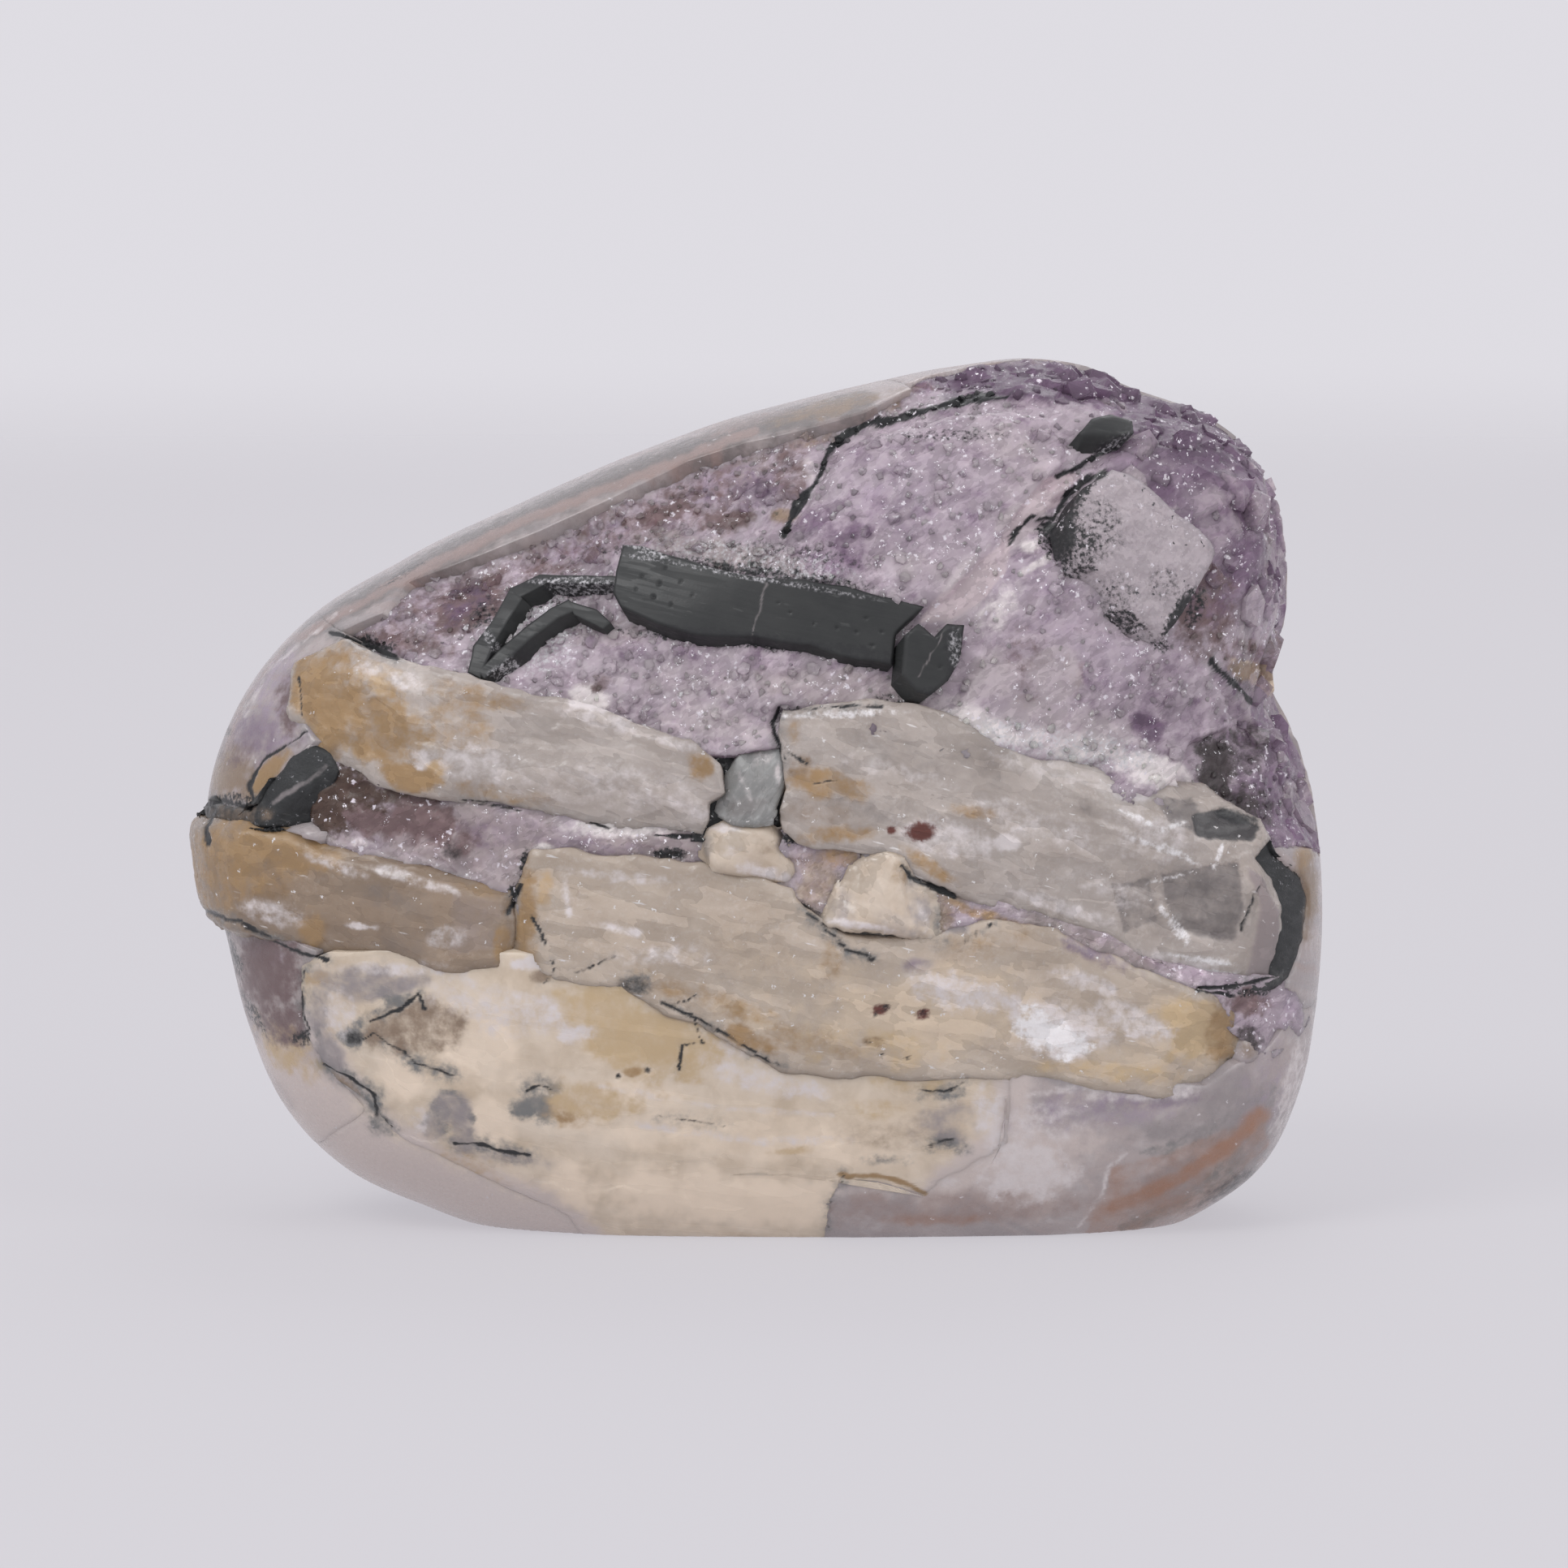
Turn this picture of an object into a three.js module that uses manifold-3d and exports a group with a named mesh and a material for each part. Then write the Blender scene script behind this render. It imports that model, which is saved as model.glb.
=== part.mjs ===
// Polished agate freeform with an amethyst hollow, calcite blades and dark bars in its face.
// Millimetres, +Z up. The origin is the middle of the flat base, the face looks towards -Y and
// the stone is widest along X.

import * as THREE from 'three';
import { mergeVertices } from 'three/addons/utils/BufferGeometryUtils.js';
import Module from 'manifold-3d';

const wasm = await Module();
wasm.setup();

// Driving dimensions
const heart = { x: 0, z: 40 };     // the outline is measured round this point
const frontDepth = 28;             // heart to the foremost point of the face
const backDepth = 30;              // heart to the hindmost point
const frontFullness = 3;           // exponent of the rounding, 2 would be an ellipse
const backFullness = 2.4;
const meanRadius = 50;             // spaces points evenly from the middle of the face to the rim
const settingDepth = 6;            // crystals are set this deep in the stone
const liningSeat = 3.6;            // bars and blocks are set this deep in the lining
const gap = 0.3;                   // clear width between neighbouring pieces
const skinDetail = 8;              // splits of each edge of the ball that shapes the stone
const seatDetail = 5;              // the same for the hidden floors that crystals sit on
const reach = 200;                 // side of a cutting block, larger than the stone
const sectionSteps = 400;          // points in a section from the middle to the rim

// The seen outlines below are [across, up] as they look from this far in front, this far above
// level, with the eye straight in front of centre.
const view = { distance: 1200, tilt: THREE.MathUtils.degToRad(6), centre: [3, 44] };

// The stone's outline square from the front, as [x, z], anticlockwise from the right.
const stoneOutline = [
  [57.6, 40.5], [57, 45], [55.5, 50], [53.7, 53.5], [53.2, 56.3], [54.3, 60.2], [54.8, 67],
  [53.6, 75], [51.2, 79], [46.5, 82.4], [40, 84.8], [34, 87.1], [28, 87.9], [20, 87],
  [10, 84.9], [0, 82.4], [-12, 78.2], [-24, 73], [-36, 67.2], [-45.5, 61.4], [-51.6, 54.6],
  [-55, 47.5], [-56.2, 41], [-55.9, 35.5], [-54.1, 29], [-51.9, 20], [-48.2, 11.6],
  [-42, 5.2], [-33, 1], [-20, -3], [0, -5], [20, -5], [38, -2.5], [46.5, 1.1], [52.4, 5.8],
  [56, 13.4], [57.6, 22], [58.2, 31],
];

const seen = {
  lining: [
    [-45.5, 57.6], [-42.5, 60.4], [-38.6, 62.2], [-35.8, 65.4], [-30.5, 67.4], [-25, 69.6],
    [-19, 72.2], [-13, 75], [-7, 77.9], [-1, 79.8], [6, 81.4], [11, 82.8], [15.5, 84.8],
    [19.5, 87.6], [24, 92], [60, 92], [64, 60], [62, 37.4], [57, 37.6], [54, 37.3],
    [50, 36.4], [40, 41], [28, 44], [8, 48.5], [3.2, 48], [0.5, 47.7], [-1.6, 46.9],
    [-4.4, 46.9], [-8, 46.5], [-20, 49], [-32, 52.4], [-40, 55.5],
  ],
  cream: [
    [-46.2, 25.2], [-43.6, 26.2], [-34, 26.5], [-22, 26], [-10, 24], [4, 18], [18, 16],
    [24.5, 15.6], [26.3, 12.4], [26, 7.4], [22.6, 5.5], [17.5, 2.1], [15.2, 2.9],
    [12.6, 3.7], [8.8, 3.8], [7.5, 1.2], [7, -3.4], [-16.5, -3.4], [-19, 0.2], [-22, 1.6],
    [-28, 4.2], [-33, 6.6], [-37.2, 8.8], [-39.2, 11.7], [-44.2, 15.2], [-46, 19.4],
  ],
  upperLeft: [
    [-46.5, 56.1], [-43.3, 57.7], [-41.4, 58.6], [-39, 57.1], [-35.5, 56], [-29.5, 54.6],
    [-23.5, 52.8], [-16.5, 51.3], [-11, 49.3], [-6.5, 48], [-4, 45.6], [-3.6, 43.4],
    [-5.3, 42], [-5.6, 38.7], [-15, 39.3], [-24, 41.4], [-32, 42.5], [-38, 44.1],
    [-43, 46.4], [-45.2, 48.4], [-46.9, 51.5],
  ],
  upperRight: [
    [3.2, 51.3], [8, 51.4], [14, 51.7], [20, 50.8], [25.5, 48.3], [31, 46.7], [36, 45.8],
    [41, 43.7], [45.5, 43.6], [47.3, 42.2], [50.9, 40.2], [52, 38.6], [50.6, 36.3],
    [52.2, 34], [53.4, 30.9], [52.8, 23.3], [46.4, 23.6], [40.5, 24.6], [36, 27.2],
    [30.5, 29], [25.2, 30.7], [20.5, 32.6], [16.4, 34.8], [14.6, 37], [6.6, 37.7],
    [3.2, 39.1], [3, 41.5], [3.7, 43.6], [2.9, 47.8],
  ],
  lowerLeft: [
    [-60, 41], [-56.4, 40.3], [-52, 39.8], [-47, 38.8], [-43, 37.2], [-37, 35.6], [-31, 34.1],
    [-25, 32.8], [-24.7, 29], [-25.3, 25.1], [-33.5, 24.7], [-40, 25.3], [-44.3, 26],
    [-50.5, 28.7], [-54.2, 30], [-57.2, 31.2], [-60, 30.6],
  ],
  lower: [
    [-24.4, 32.6], [-22.2, 36.9], [-16, 36.2], [-10, 36], [-5.2, 35.4], [-2, 34.2],
    [3.6, 32.8], [5.2, 30.8], [9.4, 28], [18.6, 28], [25, 29.8], [30.4, 28.7], [35.5, 26.2],
    [40.3, 24.2], [45.4, 22.4], [48.8, 20.8], [50.3, 18.4], [49.7, 15.2], [46.5, 12.2],
    [38, 12.8], [30, 14.1], [22, 14.6], [15, 14.2], [8, 14.4], [2.7, 15], [-3, 18.4],
    [-9, 21.1], [-14, 23.5], [-20, 24.5], [-24.9, 25.2],
  ],
  tooth: [
    [9.9, 35.9], [13, 36.7], [14.7, 36.2], [15.8, 34.6], [18.2, 33.6], [19.8, 32],
    [19.6, 29.8], [18.6, 28.2], [18.6, 26.2], [14, 26], [10.2, 26.4], [8.2, 27.8],
    [6.9, 29.4], [7.6, 31.4], [8.5, 34],
  ],
  lump: [
    [-5.2, 39.4], [-3, 39.9], [1.4, 39.8], [2.6, 38.6], [3.2, 36.8], [4, 35.4],
    [3.8, 33.2], [-1, 34.4], [-4.2, 35.6], [-5.4, 37],
  ],
  grey: [
    [1, 48.3], [2.8, 47.2], [3.1, 45], [2.9, 43.6], [2.2, 42.4], [1.7, 40.3], [-2.8, 40.3],
    [-4.2, 41.1], [-3.6, 42.6], [-3.1, 44.6], [-1.6, 46.4],
  ],
  barLong: [
    [-13.4, 68.3], [-11.5, 68.2], [-6.5, 66.6], [0.2, 65], [5, 64.7], [9.2, 64],
    [13.2, 62.9], [17.2, 61.9], [15.9, 60.6], [14.4, 59.2], [14, 55.9], [10.5, 56.4],
    [5.6, 57.9], [0, 58.8], [-6, 59], [-10, 60.2], [-13.6, 61.9], [-14.4, 63.4],
    [-14.1, 65.6],
  ],
  barCross: [
    [15.1, 59], [16.5, 60.2], [18.2, 58.8], [19.4, 60.2], [21.2, 60.1], [20.7, 56.4],
    [19.6, 54.4], [17.7, 52.9], [16.5, 53.2], [14.8, 55],
  ],
  frame: [
    [-15, 65.9], [-22, 66], [-25.2, 64.4], [-27.4, 60.9], [-29.3, 58.4], [-29.9, 55.8],
    [-28.4, 54.6], [-25.6, 55], [-23.6, 57], [-20.4, 59.6], [-18.6, 60.6], [-16.6, 59.9],
    [-15.4, 60.4], [-16, 61.6], [-19, 62.6], [-21.6, 61.2], [-24.2, 59.4], [-27, 57.7],
    [-26.2, 60.2], [-24.9, 62.2], [-24.1, 63.8], [-21, 64.4], [-15, 64.5],
  ],
  wedge: [
    [33.2, 79.8], [34.4, 81.4], [36.4, 81.9], [38.6, 81.2], [38.7, 80], [36.6, 78],
    [34.2, 76.8], [32, 76.2], [30.2, 75.2], [30.3, 76.1], [32.4, 77.4],
  ],
  block: [
    [36.2, 76.1], [38.4, 75.5], [42.6, 71.8], [46.2, 69], [46.9, 67.3], [45.4, 64.4],
    [43.6, 61.2], [41.5, 58.8], [39.8, 59.9], [37.2, 61.9], [35.4, 65.2], [33.2, 66.2],
    [32, 68.6], [31.4, 71], [33.4, 74.2],
  ],
  endLeft: [
    [-45.1, 48.1], [-47, 46.6], [-49.3, 43.6], [-50.6, 41.8], [-53.6, 41.4], [-55.6, 42.6],
    [-56.4, 41.2], [-53, 40.1], [-47, 39.3], [-44.6, 39.7], [-43.7, 41.5], [-42.6, 45.2],
    [-43, 46.8],
  ],
  endRight: [
    [52.6, 39.3], [50.4, 36.4], [52, 34.6], [52.5, 32.2], [53.6, 30.8], [53.1, 24.2],
    [46.2, 24.4], [46, 22.9], [52.5, 22.5], [55.2, 24], [56.4, 27.6], [57, 32.3],
    [56.2, 34.5], [54.6, 35.7], [53, 37.2],
  ],
};

// Open places in the face with no crystal piece in them, and how deep their floor lies.
const hollows = [
  { outline: [
    [-45, 41], [-43, 45.4], [-37, 43.2], [-28, 41.6], [-21, 39.6], [-6, 38.2], [-5.4, 36.2],
    [-12, 36.6], [-21.6, 37.6], [-24.6, 32.9], [-33, 34.8], [-41, 37], [-46, 39],
  ], floor: 3.2 },
  { outline: [
    [-5.9, 47.3], [-3.6, 46.6], [-0.6, 46.9], [3.4, 47.4], [3.6, 43.4], [3.4, 38.6],
    [9.9, 35.9], [8.6, 33.8], [7, 29.6], [4.4, 31.6], [3.4, 34], [-5.6, 37], [-5.4, 42.4],
    [-3.4, 43.4],
  ], floor: 4.2 },
  { outline: [
    [15, 37], [20.4, 32.4], [25.2, 30.4], [18.4, 27.4], [19.4, 31.4], [15.4, 34.4],
  ], floor: 3 },
];

// How far the lining goes round the rim, as [way along the rim, y]. The way is measured across
// the stone's upper right corner, from the right side up and over the top.
const liningEdge = [
  [-18, -12], [-13.5, -4], [-8, 3.5], [-2, 5.5], [5, 1.5], [11, 4.5], [18, 8], [25, 5.5],
  [32, 7], [39, 1.5], [45, -1], [50, -6], [100, -6],
];

// Swells (+) and dips (-) of the lining under its points: [x, z, half width, height].
const liningMounds = [
  [20, 75, 11, 1.5], [31, 59, 10, 1.6], [44, 54, 6, 1], [-6, 55, 9, 0.5],
  [-20, 68, 7, -1], [-4, 74, 7, -1.2], [48, 48, 5, -2], [53, 44, 6, -0.8],
];
const liningRest = -1.7;           // the lining's own level against the polished skin
const pointPitch = 4.4;            // from one crystal point to the next
const pointHeight = 0.9;           // of a point over its foot
const bigPointHeight = 1.7;        // the same at the upper right, where the points stand out
const bigPoints = { x: 43, z: 77, radius: 21 };

const tiltCos = Math.cos(view.tilt);
const tiltSin = Math.sin(view.tilt);
const turn = 2 * Math.PI;

// A repeatable number from 0 to 1 for a pair of whole numbers.
function chance(i, j) {
  const mixed = Math.sin(i * 127.1 + j * 311.7) * 43758.5453;
  return mixed - Math.floor(mixed);
}

// The outline's corners as [angle, radius] round the heart, in order of angle.
const stoneRadii = stoneOutline
  .map(([x, z]) => {
    const angle = Math.atan2(z - heart.z, x - heart.x);
    return [(angle + turn) % turn, Math.hypot(x - heart.x, z - heart.z)];
  })
  .sort((a, b) => a[0] - b[0]);

// Radius of the outline at an angle: a cubic through the corners on either side.
function stoneRadius(angle) {
  const count = stoneRadii.length;
  const wanted = (angle + turn) % turn;
  let next = stoneRadii.findIndex(([at]) => at > wanted);
  if (next < 0) next = count;
  const corner = (i) => {
    const round = Math.floor(i / count);
    const [at, radius] = stoneRadii[i - round * count];
    return [at + round * turn, radius];
  };
  const [before, from, to, after] = [next - 2, next - 1, next, next + 1].map(corner);
  const width = to[0] - from[0];
  const t = (wanted - from[0]) / width;
  const slopeFrom = (to[1] - before[1]) / (to[0] - before[0]) * width;
  const slopeTo = (after[1] - from[1]) / (after[0] - from[0]) * width;
  return from[1] * (2 * t ** 3 - 3 * t ** 2 + 1) + slopeFrom * (t ** 3 - 2 * t ** 2 + t)
    + to[1] * (3 * t ** 2 - 2 * t ** 3) + slopeTo * (t ** 3 - t ** 2);
}

// Share of the depth left at a share of the radius, on the front or the back.
function depthShare(share, fullness) {
  return (1 - Math.min(share, 1) ** fullness) ** (1 / fullness);
}

// Depth of the face in front of the heart's plane at a place seen square from the front.
function faceDepth(x, z) {
  const dx = x - heart.x;
  const dz = z - heart.z;
  const share = Math.hypot(dx, dz) / stoneRadius(Math.atan2(dz, dx));
  return frontDepth * depthShare(share, frontFullness);
}

// Where a seen point lies on the face, as [x, z]. Nearer points look lower and further out, so
// the depth is found by trying again with each better place.
function onFace([across, up]) {
  const u = across - view.centre[0];
  const v = up - view.centre[1];
  const middle = view.centre[1] / tiltCos;
  let depth = frontDepth / 2;
  let x = across;
  let z = up;
  for (let tries = 0; tries < 10; tries += 1) {
    const near = view.distance - depth * tiltCos;
    const rise = (v * near + view.distance * depth * tiltSin)
      / (view.distance * tiltCos + v * tiltSin);
    x = view.centre[0] + u * (near - rise * tiltSin) / view.distance;
    z = middle + rise;
    depth = (depth + faceDepth(x, z)) / 2;
  }
  return [x, z];
}

// A section from the middle of the face, or of the back, out to the rim, as points
// [share of radius, depth] with the length of the way to each.
function halfSection(depth, fullness) {
  const points = [[0, depth]];
  const lengths = [0];
  for (let i = 1; i <= sectionSteps; i += 1) {
    const angle = Math.PI / 2 * i / sectionSteps;
    const share = Math.sin(angle) ** (2 / fullness);
    const y = depth * Math.max(Math.cos(angle), 0) ** (2 / fullness);
    const [lastShare, lastY] = points[i - 1];
    lengths.push(lengths[i - 1] + Math.hypot((share - lastShare) * meanRadius, y - lastY));
    points.push([share, y]);
  }
  return { points, lengths };
}
const frontSection = halfSection(frontDepth, frontFullness);
const backSection = halfSection(backDepth, backFullness);

// The point of a section at a share of its length.
function alongSection(section, part) {
  const wanted = part * section.lengths[sectionSteps];
  const next = Math.min(Math.max(section.lengths.findIndex((l) => l >= wanted), 1), sectionSteps);
  const step = section.lengths[next] - section.lengths[next - 1];
  const t = Math.min((wanted - section.lengths[next - 1]) / step, 1);
  const [a, b] = [section.points[next - 1], section.points[next]];
  return [a[0] + (b[0] - a[0]) * t, a[1] + (b[1] - a[1]) * t];
}

// A point on the stone: angle round the heart, way from 0 (middle of the face) over 1 (rim) to
// 2 (middle of the back), and how far it is swelled out from the polished skin.
function skinPoint(angle, way, swell) {
  const onFront = way <= 1;
  const [share, y] = onFront
    ? alongSection(frontSection, way)
    : alongSection(backSection, 2 - way);
  const radius = (stoneRadius(angle) + swell) * share;
  const depth = onFront ? frontDepth : -backDepth;
  const deep = (onFront ? -y : y) * (1 + swell / Math.abs(depth));
  return [heart.x + radius * Math.cos(angle), deep, heart.z + radius * Math.sin(angle)];
}

// A closed geometry as a solid that can be joined and cut.
function toSolid(geometry) {
  const bare = new THREE.BufferGeometry();
  bare.setAttribute('position', geometry.getAttribute('position').clone());
  if (geometry.index) bare.setIndex(geometry.index.clone());
  const merged = mergeVertices(bare, 1e-4);
  return new wasm.Manifold(new wasm.Mesh({
    numProp: 3,
    vertProperties: merged.attributes.position.array,
    triVerts: new Uint32Array(merged.index.array),
  }));
}

// The whole stone, swelled or shrunk: an even ball of triangles pushed onto its skin.
function swelled(swell, detail = skinDetail) {
  const ball = new THREE.IcosahedronGeometry(1, detail);
  const at = ball.getAttribute('position');
  for (let i = 0; i < at.count; i += 1) {
    const angle = Math.atan2(at.getZ(i), at.getX(i));
    const way = Math.acos(THREE.MathUtils.clamp(-at.getY(i), -1, 1)) * 2 / Math.PI;
    at.setXYZ(i, ...skinPoint(angle, way, swell));
  }
  return toSolid(ball);
}

// An outline moved out by a width all round. The outline runs either way round.
function widened(outline, width) {
  const side = Math.sign(THREE.ShapeUtils.area(outline.map(([x, z]) => new THREE.Vector2(x, z))));
  return outline.map((corner, i) => {
    const before = outline.at(i - 1);
    const after = outline[(i + 1) % outline.length];
    const into = new THREE.Vector2(corner[0] - before[0], corner[1] - before[1]).normalize();
    const away = new THREE.Vector2(after[0] - corner[0], after[1] - corner[1]).normalize();
    const out = new THREE.Vector2(into.y + away.y, -into.x - away.x).multiplyScalar(side);
    const stretch = Math.min(1 / Math.max(out.lengthSq() / 2, 0.3), 2);
    out.multiplyScalar(width * stretch);
    return [corner[0] + out.x, corner[1] + out.y];
  });
}

// A straight block with a seen outline, from in front of the face back to the plane at y.
function block(outline, width, back) {
  const shape = new THREE.Shape(
    widened(outline.map(onFace), width).map(([x, z]) => new THREE.Vector2(x, z)),
  );
  const geometry = new THREE.ExtrudeGeometry(shape, {
    depth: back + 2 * frontDepth,
    bevelEnabled: false,
  });
  geometry.rotateX(Math.PI / 2);
  geometry.translate(0, back, 0);
  return toSolid(geometry);
}

// The room in front of the lining's edge: its wavy line carried straight through the stone's
// upper right corner.
function liningRoom(clearance) {
  const shape = new THREE.Shape([
    [-reach, -reach], ...liningEdge.map(([along, y]) => [along, y + clearance]), [reach, -reach],
  ].map(([along, y]) => new THREE.Vector2(along, y)));
  const geometry = new THREE.ExtrudeGeometry(shape, { depth: 2 * reach, bevelEnabled: false });
  geometry.translate(0, 0, -reach);
  const along = new THREE.Vector3(-1, 0, 1).normalize();
  const back = new THREE.Vector3(0, 1, 0);
  const through = new THREE.Vector3().crossVectors(along, back);
  geometry.applyMatrix4(new THREE.Matrix4().makeBasis(along, back, through));
  return toSolid(geometry);
}

// Everything ahead of a flat facet that passes under a seen point, this deep under the skin, and
// faces the given way.
function aheadOf({ at, under, faces }) {
  const [x, z] = onFace(at);
  const outward = new THREE.Vector3(...faces).normalize();
  const box = new THREE.BoxGeometry(reach, reach, reach);
  box.translate(0, 0, reach / 2);
  box.applyQuaternion(
    new THREE.Quaternion().setFromUnitVectors(new THREE.Vector3(0, 0, 1), outward),
  );
  box.translate(x, under - faceDepth(x, z), z);
  return toSolid(box);
}

const underBase = toSolid(
  new THREE.BoxGeometry(reach, reach, reach).translate(0, 0, -reach / 2),
);
const pieces = new THREE.Group();
let rooms = null;                  // room of the crystals made so far, with the gap round it

// Where two cuts nearly meet they can leave a crumb beside a piece, so only its body is kept.
function addPiece(name, solid, look) {
  const [body] = solid.decompose().sort((a, b) => b.volume() - a.volume());
  const mesh = body.getMesh();
  const geometry = new THREE.BufferGeometry();
  geometry.setAttribute('position', new THREE.BufferAttribute(mesh.vertProperties, 3));
  geometry.setIndex(new THREE.BufferAttribute(mesh.triVerts, 1));
  const faceted = geometry.toNonIndexed();
  faceted.computeVertexNormals();
  const piece = new THREE.Mesh(faceted, new THREE.MeshStandardMaterial(look));
  piece.name = name;
  pieces.add(piece);
}

// One crystal set in the stone: the room inside its outline, under its own surface and over its
// seat, cut by flat facets and by the crystals that lie over its edges.
function setPiece(name, outline, form, look) {
  const { surface, seat = settingDepth, back = 0, facets = [], within } = form;
  let solid = block(outline, 0, back).intersect(surface).subtract(swelled(-seat, seatDetail));
  if (within) solid = solid.intersect(within(0));
  facets.forEach((facet) => {
    solid = solid.subtract(aheadOf(facet));
  });
  if (rooms) solid = solid.subtract(rooms);
  addPiece(name, solid.subtract(underBase), look);
  let room = block(outline, gap, back + gap).subtract(swelled(-seat - gap, seatDetail));
  if (within) room = room.intersect(within(gap));
  rooms = rooms ? rooms.add(room) : room;
}

// The lining's surface: a six-sided point on every place of a triangular lattice that is
// wrapped over the face and round the rim, with its foot on the six places between.
function liningSolid() {
  const frontLength = frontSection.lengths[sectionSteps];
  const backLength = backSection.lengths[sectionSteps];
  const farthest = frontLength + backLength / 3;
  const rows = Math.ceil(farthest / pointPitch) * 2;
  const points = [];
  const triangles = [];
  const known = new Map();

  function place(key, column, row, spread, rise) {
    if (known.has(key)) return known.get(key);
    const seed = key.length + points.length;
    const across = (column + row / 2 + (chance(seed, 1) - 0.5) * spread) * pointPitch;
    const up = (row * Math.sqrt(0.75) + (chance(seed, 2) - 0.5) * spread) * pointPitch;
    const angle = Math.atan2(up, across);
    const length = Math.hypot(across, up);
    const way = length < frontLength
      ? length / frontLength
      : 1 + (length - frontLength) / backLength;
    const [x, , z] = skinPoint(angle, way, 0);
    const swell = liningMounds.reduce(
      (sum, [mx, mz, width, height]) => (
        sum + height * Math.exp(-((x - mx) ** 2 + (z - mz) ** 2) / width ** 2)
      ),
      liningRest,
    );
    points.push(skinPoint(angle, way, swell + rise(x, z, seed)));
    known.set(key, points.length - 1);
    return points.length - 1;
  }

  const foot = () => 0;
  const tip = (x, z, seed) => {
    const big = Math.hypot(x - bigPoints.x, z - bigPoints.z) < bigPoints.radius;
    return (big ? bigPointHeight : pointHeight) * (0.6 + 0.7 * chance(seed, 3));
  };
  for (let row = -rows; row <= rows; row += 1) {
    for (let column = -rows; column <= rows; column += 1) {
      const length = Math.hypot(column + row / 2, row * Math.sqrt(0.75)) * pointPitch;
      if (length > farthest) continue;
      const top = place(`tip ${column} ${row}`, column, row, 0.4, tip);
      const feet = [
        ['up', column, row], ['down', column - 1, row], ['up', column - 1, row],
        ['down', column - 1, row - 1], ['up', column, row - 1], ['down', column, row - 1],
      ].map(([kind, c, r]) => {
        const third = kind === 'up' ? 1 / 3 : 2 / 3;
        return place(`${kind} ${c} ${r}`, c + third, r + third, 0.25, foot);
      });
      feet.forEach((from, k) => triangles.push([top, from, feet[(k + 1) % 6]]));
    }
  }

  const sides = new Set(triangles.flatMap(([a, b, c]) => [`${a} ${b}`, `${b} ${c}`, `${c} ${a}`]));
  const behind = points.push([heart.x, backDepth * 0.7, heart.z]) - 1;
  triangles.flatMap(([a, b, c]) => [[a, b], [b, c], [c, a]])
    .filter(([a, b]) => !sides.has(`${b} ${a}`))
    .forEach(([a, b]) => triangles.push([b, a, behind]));
  const geometry = new THREE.BufferGeometry();
  geometry.setAttribute('position', new THREE.Float32BufferAttribute(points.flat(), 3));
  geometry.setIndex(triangles.flat());
  return toSolid(geometry);
}

const darkMineral = { color: 0x3b3e3d, roughness: 0.45, metalness: 0.1 };
const blackDruse = { color: 0x26282a, roughness: 0.5, metalness: 0.1 };
const paleDruse = { color: 0xb2a4aa, roughness: 0.8, metalness: 0 };
const amethyst = { color: 0x9c869a, roughness: 0.4, metalness: 0 };
const greyCalcite = { color: 0xb8aca6, roughness: 0.4, metalness: 0 };
const amberCalcite = { color: 0xa08a6c, roughness: 0.4, metalness: 0 };
const creamCalcite = { color: 0xcfc0ae, roughness: 0.45, metalness: 0 };
const blueGreyCalcite = { color: 0x8f928f, roughness: 0.35, metalness: 0 };
const agate = { color: 0xb3a5a6, roughness: 0.3, metalness: 0 };

setPiece('dark_bar_cross', seen.barCross, { seat: liningSeat, surface: swelled(0.2) }, darkMineral);
setPiece('dark_bar_long', seen.barLong, {
  seat: liningSeat,
  surface: swelled(0.6),
  facets: [{ at: [1, 62], under: -0.3, faces: [0.02, -1, 0.16] }],
}, darkMineral);
setPiece('dark_frame', seen.frame, { seat: liningSeat, surface: swelled(0.1) }, darkMineral);
setPiece('dark_wedge', seen.wedge, {
  seat: liningSeat,
  surface: swelled(0.4),
  facets: [{ at: [36, 79], under: 0, faces: [0.35, -1, -0.2] }],
}, darkMineral);
setPiece('drusy_block', seen.block, {
  seat: liningSeat,
  surface: swelled(1.2),
  facets: [{ at: [39, 67.5], under: -0.7, faces: [0.3, -1, 0.35] }],
}, paleDruse);
setPiece('dark_end_left', seen.endLeft, {
  surface: swelled(-0.6),
  facets: [
    { at: [-46, 44], under: 1, faces: [-0.5, -1, 0.5] },
    { at: [-46, 44], under: 1, faces: [-0.5, -1, -0.7] },
  ],
}, blackDruse);
setPiece('dark_end_right', seen.endRight, { surface: swelled(-0.3) }, blackDruse);
setPiece('grey_crystal', seen.grey, {
  surface: swelled(0.9),
  facets: [
    { at: [-1.5, 43.5], under: -0.5, faces: [-0.8, -1, 0.2] },
    { at: [1.8, 44], under: -0.5, faces: [0.7, -1, 0.1] },
    { at: [0.5, 46.5], under: 0, faces: [0, -1, 0.9] },
  ],
}, blueGreyCalcite);
setPiece('cream_lump', seen.lump, {
  surface: swelled(1.2),
  facets: [
    { at: [-2.8, 38], under: -0.6, faces: [-0.5, -1, 0.3] },
    { at: [2, 38.4], under: -0.4, faces: [0.6, -1, 0.3] },
    { at: [0, 35], under: -0.6, faces: [0.1, -1, -0.4] },
  ],
}, creamCalcite);
setPiece('cream_tooth', seen.tooth, {
  surface: swelled(1.8),
  facets: [
    { at: [11, 33], under: -1.1, faces: [-0.3, -1, 0.25] },
    { at: [17.4, 31], under: -0.8, faces: [0.4, -1, 0.1] },
    { at: [12, 28.8], under: -0.7, faces: [-0.1, -1, -1.5] },
  ],
}, creamCalcite);
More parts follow.
